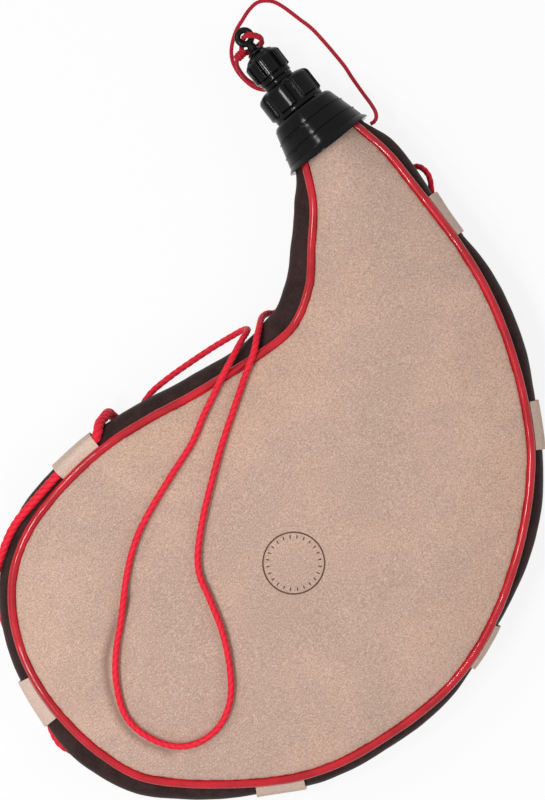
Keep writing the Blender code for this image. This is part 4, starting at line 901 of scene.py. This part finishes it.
def make_piping(name, side, node):
    path = []
    for share in np.linspace(0.0, 1.0, PIPING_STEPS + 1):
        height, rise, _ = seam_stand(share)
        if height <= RIM_HEIGHT + PIPING_DEPTH:
            path.append(in_space(share, 0.0, side * rise))
    path = np.array(path)
    sides = 18
    verts = []
    for place, (u, v) in zip(path, section_frames(path)):
        for a, b in circle(sides):
            way = u * a + v * b
            spot = place + way * PIPING_RADIUS
            wrinkle = wobble(*spot * 170.0) * 0.0001 + wobble(*spot * 45.0) * 0.00012
            verts.append(place + way * (PIPING_RADIUS + COAT + wrinkle))
    ends = [tuple(range(sides)), tuple(range(len(verts) - sides, len(verts)))]
    faces = ring_faces(len(path), sides) + ends
    seat(add_mesh(name, verts, faces, PIPING, "piping_red"), "bag", node)


EDGE_ROUTE = smooth_curve(EDGE_CORD_SHARES, 12)


def cord_degrees(share):
    return float(np.interp(share, EDGE_ROUTE[:, 0], EDGE_ROUTE[:, 1]))


def cord_place(share, degrees):
    out, up, facing = bulge_place(share, radians(degrees))
    stand = GUSSET_THICK / 2 + FIT + CARRY_RADIUS
    return out + facing[0] * stand, up + facing[1] * stand


def taut_line(spots, start, end):
    """The line from start to end that is pulled tight round the outside of the spots."""
    loop = []
    for rows in (sorted(spots + [start, end]), sorted(spots + [start, end], reverse=True)):
        chain = []
        for spot in rows:
            while len(chain) > 1:
                (a, b), (c, d) = chain[-2:]
                if (c - a) * (spot[1] - b) - (d - b) * (spot[0] - a) > 0.0:
                    break
                chain.pop()
            chain.append(spot)
        loop += chain[:-1]
    first = loop.index(end)
    loop = loop[first:] + loop[:first]
    return np.array(loop[:loop.index(start) + 1][::-1])


def tab_section(share):
    """Middle layer of a tab, pulled over gusset and cord from the front seam to the back seam."""
    stand = GUSSET_THICK / 2 + TAB_GAP + TAB_THICK / 2
    clear = CARRY_RADIUS + FIT / 2 + TAB_THICK / 2
    _, rise, tilt = seam_stand(share)
    start_out, start_up = leaned(PIPING_RADIUS + TAB_THICK / 2 - FIT, -FIT, tilt)
    spots = []
    for turn in np.linspace(radians(78.0), -radians(78.0), 27):
        out, up, facing = bulge_place(share, turn)
        spots.append((out + facing[0] * stand, up + facing[1] * stand))
    across, along = cord_place(share, cord_degrees(share))
    spots += [(across + clear * a, along + clear * b) for a, b in circle(32)]
    spots = [spot for spot in spots if spot[0] > start_out]
    return evenly(taut_line(spots, (start_out, rise + start_up), (start_out, -rise - start_up)), 0.0012, 40)


def make_tab(number, centre):
    half = TAB_LENGTH / SEAM_LENGTH / 2
    outer, inner = [], []
    for step in np.linspace(-1.0, 1.0, 15):
        share = centre + step * half
        face_out, face_in = thickened(tab_section(share), TAB_THICK)
        row_out, row_in = [], []
        for (a, b), (c, d) in zip(face_out, face_in):
            wave = 0.00012 * wobble(step * 2.0 + number * 3.0, b * 180.0, 0.7)
            row_out.append(in_space(share, a + wave, b))
            row_in.append(in_space(share, c + wave, d))
        outer.append(row_out)
        inner.append(row_in)
    piece = layered("suede_tab_" + str(number), outer, inner, SUEDE_EDGE, "suede")
    piece.data.set_sharp_from_angle(angle=TAB_CUT_ANGLE)
    soft = piece.modifiers.new("cut_edge", "BEVEL")
    soft.width = 0.00022
    soft.segments = 2
    soft.limit_method = "ANGLE"
    soft.angle_limit = TAB_CUT_ANGLE
    seat(piece, "bag", "tab_" + str(number))


def make_liner():
    """The latex liner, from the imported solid's own mesh, rounded off."""
    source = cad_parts["liner"]
    bm = bmesh.new()
    bm.from_mesh(source.data)
    bmesh.ops.remove_doubles(bm, verts=bm.verts, dist=1e-5)
    mesh = bpy.data.meshes.new("latex_liner")
    bm.to_mesh(mesh)
    bm.free()
    mesh.materials.clear()
    mesh.materials.append(LATEX)
    mesh.shade_smooth()
    piece = add_object("latex_liner", mesh)
    refine(piece, subdivision_type="SIMPLE")
    seat(piece, "bag", "liner")


# Nozzle fittings, turned about the nozzle's axis with heights above the collar's rim

RIDGE_FOOT = 0.00085
RIDGE_TOP = 0.0004
SHARP_ANGLE = radians(48.0)


def rounded(outline, reach, closed):
    """An outline with its corners eased."""
    rows = [np.array(p, dtype=float) for p in outline]
    count = len(rows)
    result = []
    for k, place in enumerate(rows):
        if not closed and k in (0, count - 1):
            result.append(place)
            continue
        before, after = rows[k - 1], rows[(k + 1) % count]
        back, on = norm(before - place), norm(after - place)
        cut = min(reach, 0.42 * back, 0.42 * on)
        a, b = place + (before - place) * cut / back, place + (after - place) * cut / on
        for t in (0.0, 0.25, 0.5, 0.75, 1.0):
            result.append((1 - t) ** 2 * a + 2 * t * (1 - t) * place + t * t * b)
    return result


def dense(outline, closed, longest):
    rows = []
    pairs = zip(outline, outline[1:] + (outline[:1] if closed else []))
    for a, b in pairs:
        parts = max(int(ceil(norm(b - a) / longest)), 1)
        rows += [a + (b - a) * k / parts for k in range(parts)]
    if not closed:
        rows.append(outline[-1])
    return rows


def nozzle_point(radius, turn, height):
    across, lift = radius * cos(turn), radius * sin(turn)
    return (NOZZLE_ACROSS + across, RIM_HEIGHT + height, AXIS_HEIGHT - lift)


def lathe(outline, steps, reach, longest=0.004, shape=None):
    closed = outline[0][0] > 0.0 and outline[-1][0] > 0.0
    rows = dense(rounded(outline, reach, closed), closed, longest)
    verts, faces, rings = [], [], []
    for radius, height in rows:
        if radius < 1e-7:
            rings.append([len(verts)])
            verts.append(nozzle_point(0.0, 0.0, height))
            continue
        ring = []
        for k in range(steps):
            turn = tau * k / steps
            r, h = shape(turn, radius, height) if shape else (radius, height)
            ring.append(len(verts))
            verts.append(nozzle_point(r, turn, h))
        rings.append(ring)
    pairs = list(zip(rings, rings[1:])) + ([(rings[-1], rings[0])] if closed else [])
    for low, high in pairs:
        for k in range(steps):
            n = (k + 1) % steps
            if len(low) == 1:
                faces.append((low[0], high[n], high[k]))
            elif len(high) == 1:
                faces.append((low[k], low[n], high[0]))
            else:
                faces.append((low[k], low[n], high[n], high[k]))
    return verts, faces


def helix(wall, sign, thread, start, offset=0.0):
    """Thread ridges on a round wall, outward or inward."""
    lead, starts, turns = thread
    verts, faces = [], []
    steps = 36
    for s in range(starts):
        begin = len(verts)
        count = int(round(turns * steps))
        for step in range(count + 1):
            turn = step / steps
            ease = smooth_step(min(turn, turns - turn) / 0.12)
            depth = THREAD_DEPTH * max(ease, 0.02)
            angle = tau * (turn + s / starts + offset)
            height = start + lead * turn
            root, crest = wall - sign * THREAD_ROOM, wall + sign * depth
            for radius, rise in ((root, -RIDGE_FOOT), (crest, -RIDGE_TOP),
                                 (crest, RIDGE_TOP), (root, RIDGE_FOOT)):
                verts.append(nozzle_point(radius, angle, height + rise))
        for step in range(count):
            for k in range(3):
                a = begin + step * 4 + k
                faces.append((a, a + 1, a + 5, a + 4))
    return verts, faces


def fitting(name, parts, body, node, finish=PLASTIC, slot="black_plastic"):
    piece = add_mesh(name, *joined(parts), finish, slot)
    piece.data.set_sharp_from_angle(angle=SHARP_ANGLE)
    seat(piece, body, node)


def plateau(turn, count, share, edge, phase=0.0):
    """1 on each of the lugs round a wall, easing to 0 between them."""
    pitch = tau / count
    away = abs((turn - phase + pitch / 2) % pitch - pitch / 2)
    return smooth_step((share * pitch / 2 - away) / edge + 0.5)


def make_collar():
    def radius_at(height):
        return COLLAR_FOOT_RADIUS - COLLAR_SLOPE * (height - COLLAR_LIP)

    outline = [(0.0281, 0.0), (0.0281, 0.0005), (0.027, 0.0017), (radius_at(0.0026), 0.0026),
               (radius_at(0.003) - 0.0003, 0.003), (radius_at(0.0034), 0.0034)]
    for share in (0.34, 0.65):
        height = COLLAR_HEIGHT * share
        r = radius_at(height)
        outline += [(r + 0.00035, height - 0.0011), (r + 0.0007, height - 0.0004), (r + 0.0006, height),
                    (r - 0.0006, height + 0.0001), (r - 0.0006, height + 0.00045),
                    (r - 0.00022, height + 0.0007)]
    plate = 0.0249
    outline += [(radius_at(0.0244), 0.0244), (0.0187, 0.0259), (0.0168, COLLAR_HEIGHT),
                (0.0113, COLLAR_HEIGHT), (0.0113, plate), (collar_inner(plate), plate),
               (collar_inner(0.0), 0.0)]

    def dipped(turn, radius, height):
        low = max(1.0 - height / (2 * COLLAR_DIP), 0.0)
        return radius, height - COLLAR_DIP * low * (radius * sin(turn) / COLLAR_RIM_RADIUS) ** 2

    fitting("ringed_collar", [lathe(outline, 144, 0.00016, shape=dipped)], "bag", "collar")


def make_mouth():
    plate, bead, tip = 0.0246, COLLAR_HEIGHT + FIT, COLLAR_HEIGHT + MOUTH_LENGTH

    def throat(depth):
        return collar_inner(depth) - THROAT_STACK

    outline = [(throat(THROAT_START), THROAT_START), (throat(0.0092), 0.0092), (SHOULDER_RADIUS, 0.0114),
               (SHOULDER_RADIUS, plate), (MOUTH_RADIUS, plate), (MOUTH_RADIUS, bead), (0.0117, bead),
               (MOUTH_RADIUS, bead + SNAP_HEIGHT), (MOUTH_RADIUS, tip - 0.0006), (0.0104, tip),
               (MOUTH_BORE_RADIUS, tip), (MOUTH_BORE_RADIUS, 0.0114),
               (throat(THROAT_START) - THROAT_WALL, THROAT_START)]
    fitting("threaded_mouth", [
        lathe(outline, 96, 0.0002),
        helix(MOUTH_RADIUS, 1.0, NUT_THREAD, bead + SNAP_HEIGHT + THREAD_START),
    ], "bag", "mouth_tube")


def make_nut():
    base, top = NUT_BASE, NUT_TOP
    wall = MOUTH_RADIUS + THREAD_DEPTH + THREAD_ROOM
    roof = COLLAR_HEIGHT + MOUTH_LENGTH + GASKET_THICK + 2 * FIT
    seat_top = top + SPOUT_COLLAR_HEIGHT
    tip = seat_top + SPOUT_LENGTH
    outline = [(0.016, base), (NUT_RADIUS, base + 0.0006), (NUT_RADIUS, top - 0.004),
               (0.0156, top - 0.0019), (0.0138, top - 0.0005), (0.0112, top),
               (SPOUT_COLLAR_RADIUS, top + 0.0001),
               (SPOUT_COLLAR_RADIUS, seat_top), (SPOUT_RADIUS, seat_top), (SPOUT_RADIUS, tip - 0.0006),
               (0.005, tip), (JET_RADIUS, tip), (JET_RADIUS, tip - JET_LENGTH),
               (SPOUT_BORE_RADIUS, tip - JET_LENGTH), (SPOUT_BORE_RADIUS, roof), (wall, roof), (wall, base)]

    def lugs(turn, radius, height):
        if radius < wall + THREAD_ROOM or height < base + 0.0001 or height > top + 0.0002:
            return radius, height
        rise = smooth_step((height - base - 0.0026) / 0.0007) * smooth_step((top + 0.0006 - height) / 0.0042)
        swell = 0.0014 * rise * plateau(turn, NUT_LUG_COUNT, 0.7, 0.04, radians(8.0))
        recess = -0.0007 * plateau(turn, NUT_LUG_COUNT, 0.2, 0.03, radians(38.0)) * rise
        return radius + swell + recess, height

    fitting("filler_nut_shell", [
        lathe(outline, 288, 0.0005, 0.0007, lugs),
        helix(wall, -1.0, NUT_THREAD, COLLAR_HEIGHT + FIT + SNAP_HEIGHT + THREAD_START, 0.25),
        helix(SPOUT_RADIUS, 1.0, CAP_THREAD, CAP_BASE + THREAD_START),
    ], "nut", "filler_nut")


def make_cap():
    base, top, roof = CAP_BASE, CAP_TOP, CAP_ROOF
    wall = SPOUT_RADIUS + THREAD_DEPTH + THREAD_ROOM
    pocket = roof + PIN_HEAD_HEIGHT + 2 * FIT
    outline = [(0.01, base), (0.0101, base + 0.0005), (0.0101, base + 0.0024), (0.0099, base + 0.003),
               (0.01, base + 0.0034), (0.0101, top - 0.0052), (0.0097, top - 0.0034),
               (0.0084, top - 0.0016), (0.006, top - 0.0003), (0.0052, top), (PIN_RADIUS + FIT, top),
               (PIN_RADIUS + FIT, pocket), (PIN_HEAD_RADIUS + FIT, pocket), (PIN_HEAD_RADIUS + FIT, roof),
               (wall, roof), (wall, base)]

    def ribs(turn, radius, height):
        if radius < 0.0072 or height < base + 0.0001 or (radius < 0.0078 and height < roof + 0.0001):
            return radius, height
        rise = smooth_step((height - base - 0.003) / 0.0006) * smooth_step((top - 0.0022 - height) / 0.003)
        sides = plateau(turn, CAP_RIB_COUNT, 0.66, 0.075, radians(6.0))
        return radius + rise * (CAP_RIB_RISE * sides - 0.0004 * (1.0 - sides)), height

    fitting("screw_cap", [
        lathe(outline, 256, 0.0004, 0.0006, ribs),
        helix(wall, -1.0, CAP_THREAD, base + THREAD_START, 0.5),
    ], "cap", "cap")


def make_eye():
    head, foot = CAP_ROOF + FIT, CAP_TOP + FIT
    ring_height = foot + EYE_REACH
    neck = ring_height - EYE_RADIUS
    outline = [(0.0, head), (PIN_HEAD_RADIUS, head), (PIN_HEAD_RADIUS, head + PIN_HEAD_HEIGHT),
               (PIN_RADIUS, head + PIN_HEAD_HEIGHT), (PIN_RADIUS, foot), (EYE_BASE_RADIUS, foot),
               (EYE_BASE_RADIUS, foot + 0.001), (0.003, CAP_TOP + 0.003), (0.0023, neck - 0.0009),
               (0.0, neck)]
    around, sides = 48, 20
    ring = []
    for across, along in circle(around):
        for wide, high in circle(sides):
            r = EYE_RADIUS + EYE_WIRE_RADIUS * wide
            ring.append((NOZZLE_ACROSS + r * across, RIM_HEIGHT + ring_height + r * along,
                         AXIS_HEIGHT + EYE_WIRE_RADIUS * high))
    fitting("swivel_eye", [lathe(outline, 64, 0.0003), (ring, ring_faces(around, sides, closed=True))],
            "eye", "cap_eye", EYE_PLASTIC, "eye_plastic")


# Cords and knots

CARRY_STEP = 0.00075
KEEPER_STEP = 0.0005


def knot(name, place, axis, half, thick, cord_radius, look, body, node, loops=()):
    """A tight knot: the cord wound round itself as a short barrel, over a full core."""
    place, axis = np.array(place), np.array(axis) / norm(axis)
    side = np.cross(axis, UPRIGHT)
    side /= norm(side)
    over = np.cross(axis, side)
    turns = 2 * half / (1.9 * cord_radius)
    winding = []
    for t in np.linspace(-1.0, 1.0, 90):
        bulge = (thick - cord_radius) * sqrt(max(1.0 - 0.55 * t * t, 0.0))
        angle = pi * turns * t
        winding.append(place + axis * (half - cord_radius) * t
                       + (side * cos(angle) + over * sin(angle)) * bulge)
    core = np.array([place + axis * t for t in np.linspace(-half * 0.8, half * 0.8, 9)])
    lines = [(np.array(winding), cord_radius), (core, thick * 0.72)]
    lines += [(loop, cord_radius) for loop in loops]
    parts = [rope_rings(line, radius, 16, radius * 6.0, GROOVE) for line, radius in lines]
    piece = add_mesh(name, *joined([part for part, depth in parts]), *look)
    # The groove depths darken the knot's colour as painted shade
    tag(piece, "groove", np.concatenate([depth for part, depth in parts]))
    seat(piece, body, node)
    return piece


def lay_cord(path):
    """Takes the length of a free cord's path, which nothing keeps."""
    lengths_along(path)[-1]


def make_carry_cord():
    lead = smooth_curve(KNOT_ROUTE, 12)[:-1]
    along = [in_space(share, *cord_place(share, degrees)) for share, degrees in EDGE_ROUTE]
    path = evenly(np.concatenate([lead, along]), CARRY_STEP)
    size = CARRY_RADIUS * np.interp(lengths_along(path), [0.0, 0.042, 0.07, 0.13, 0.2, 0.215, 0.25, 0.27],
                                    [1.55, 1.45, 1.35, 1.25, 1.0, 1.2, 1.2, 1.0])
    seat(rope("carry_cord_edge", path, size, CARRY), "bag", "edge_cord")

    path = evenly(smooth_curve(CARRY_ROUTE, 12), CARRY_STEP)
    lump = knot("carry_cord_knot", CARRY_KNOT_PLACE, (-0.78, 0.6, 0.15), half=0.0046, thick=0.0041,
                cord_radius=CARRY_RADIUS, look=CARRY, body="bag", node="carry_knot")
    size = CARRY_RADIUS * np.interp(lengths_along(path), [0.0, 0.05, 0.09, 0.3], [0.88, 0.9, 1.0, 0.96])
    sling = rope("carry_cord_sling", path, size, CARRY)
    seat(sling, "bag", "sling_cord")
    lay_cord(path)


def make_keeper_piece(name, route, node):
    path = evenly(smooth_curve(route, 12), KEEPER_STEP)
    piece = rope(name, path, KEEPER_RADIUS, KEEPER, pitch=0.0058, groove=0.16, sides=14)
    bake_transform(piece)
    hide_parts(node)
    lay_cord(path)


def make_keeper_cord():
    tether = knot("tether_cord_knot", TETHER_KNOT_PLACE, (1.0, 0.1, 0.0), half=0.0026, thick=0.0023,
                  cord_radius=0.00105, look=KEEPER, body="nut_carrier", node="tether_knot")
    make_keeper_piece("keeper_cord_loop", KEEPER_ROUTE, "keeper_cord")
    loop = evenly(smooth_curve(EYE_LOOP_ROUTE, 6), KEEPER_STEP)
    beside = np.cross(np.gradient(loop, axis=0), loop - np.mean(loop, axis=0))
    beside *= 0.0009 / norm(beside, axis=1)[:, None]
    ring = knot("eye_cord_knot", KEEPER_KNOT_PLACE, (1.0, 0.12, 0.0), half=0.0042, thick=0.0029,
                cord_radius=KEEPER_RADIUS, look=KEEPER, body="eye", node="keeper_knot",
                loops=[loop + beside, loop - beside])
    make_keeper_piece("keeper_cord_end", CAP_KEEPER_ROUTE, "keeper_cord_cap")


# Floor and light

FLOOR_REACH = 12.0
FLOOR_LEVEL = -0.0004


def make_stage():
    mesh = bpy.data.meshes.new("pale_floor")
    signs = ((-1, -1), (1, -1), (1, 1), (-1, 1))
    mesh.from_pydata([(FLOOR_REACH * x, FLOOR_REACH * y, FLOOR_LEVEL) for x, y in signs], [], [(0, 1, 2, 3)])
    mesh.materials.append(floor_material())
    add_object("pale_floor", mesh)

    aim = Vector((0.0345, 0.0777, 0.0))
    right = PHOTO_UP.cross(UPRIGHT)
    for name, across, along, high, size, power in (
            ("key_light", -0.6, 0.1, 1.3, 0.9, 2.0), ("fill_light", 0.95, 0.1, 1.2, 0.9, 4.8),
            ("low_light", -0.35, -0.95, 1.1, 0.9, 3.8), ("nut_glint", -0.46, -0.04, 1.25, 0.13, 3.8),
            ("seam_glint", -0.51, -0.42, 1.25, 0.13, 3.8), ("cone_glint", -0.72, 0.43, 1.2, 0.18, 3.6)):
        data = bpy.data.lights.new(name, "AREA")
        data.shape = "SQUARE"
        data.size = size
        data.energy = power
        lamp = add_object(name, data)
        # Only the small lamps show as glints
        lamp.visible_glossy = size < 0.5
        lamp.location = aim + right * across + PHOTO_UP * along + UPRIGHT * high
        lamp.rotation_euler = (aim - lamp.location).to_track_quat("-Z", "Y").to_euler()

    world = bpy.data.worlds.new("studio")
    bpy.context.scene.world = world
    n = Nodes(world, "Background")
    glow = n.fill(n.add("ShaderNodeMapRange"), "Result", Value=n.seen(), To_Min=0.22, To_Max=1.0)
    n.fill(n.shader, 0, Color=(1.0, 1.0, 1.0, 1.0), Strength=glow)
    bpy.context.scene.view_settings.view_transform = "Standard"


make_camera()
make_carry_cord()
make_keeper_cord()
make_panels()
make_gusset()
make_piping("front_piping_coat", 1, "front_piping")
make_piping("back_piping_coat", -1, "back_piping")
for tab_number, tab_centre in enumerate(TAB_SHARES, start=1):
    make_tab(tab_number, tab_centre)
make_liner()
make_collar()
make_mouth()
make_nut()
make_cap()
make_eye()
for seal in ("filler_gasket", "cap_seal"):
    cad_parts[seal].data.materials.clear()
    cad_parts[seal].data.materials.append(SEAL)
make_stage()
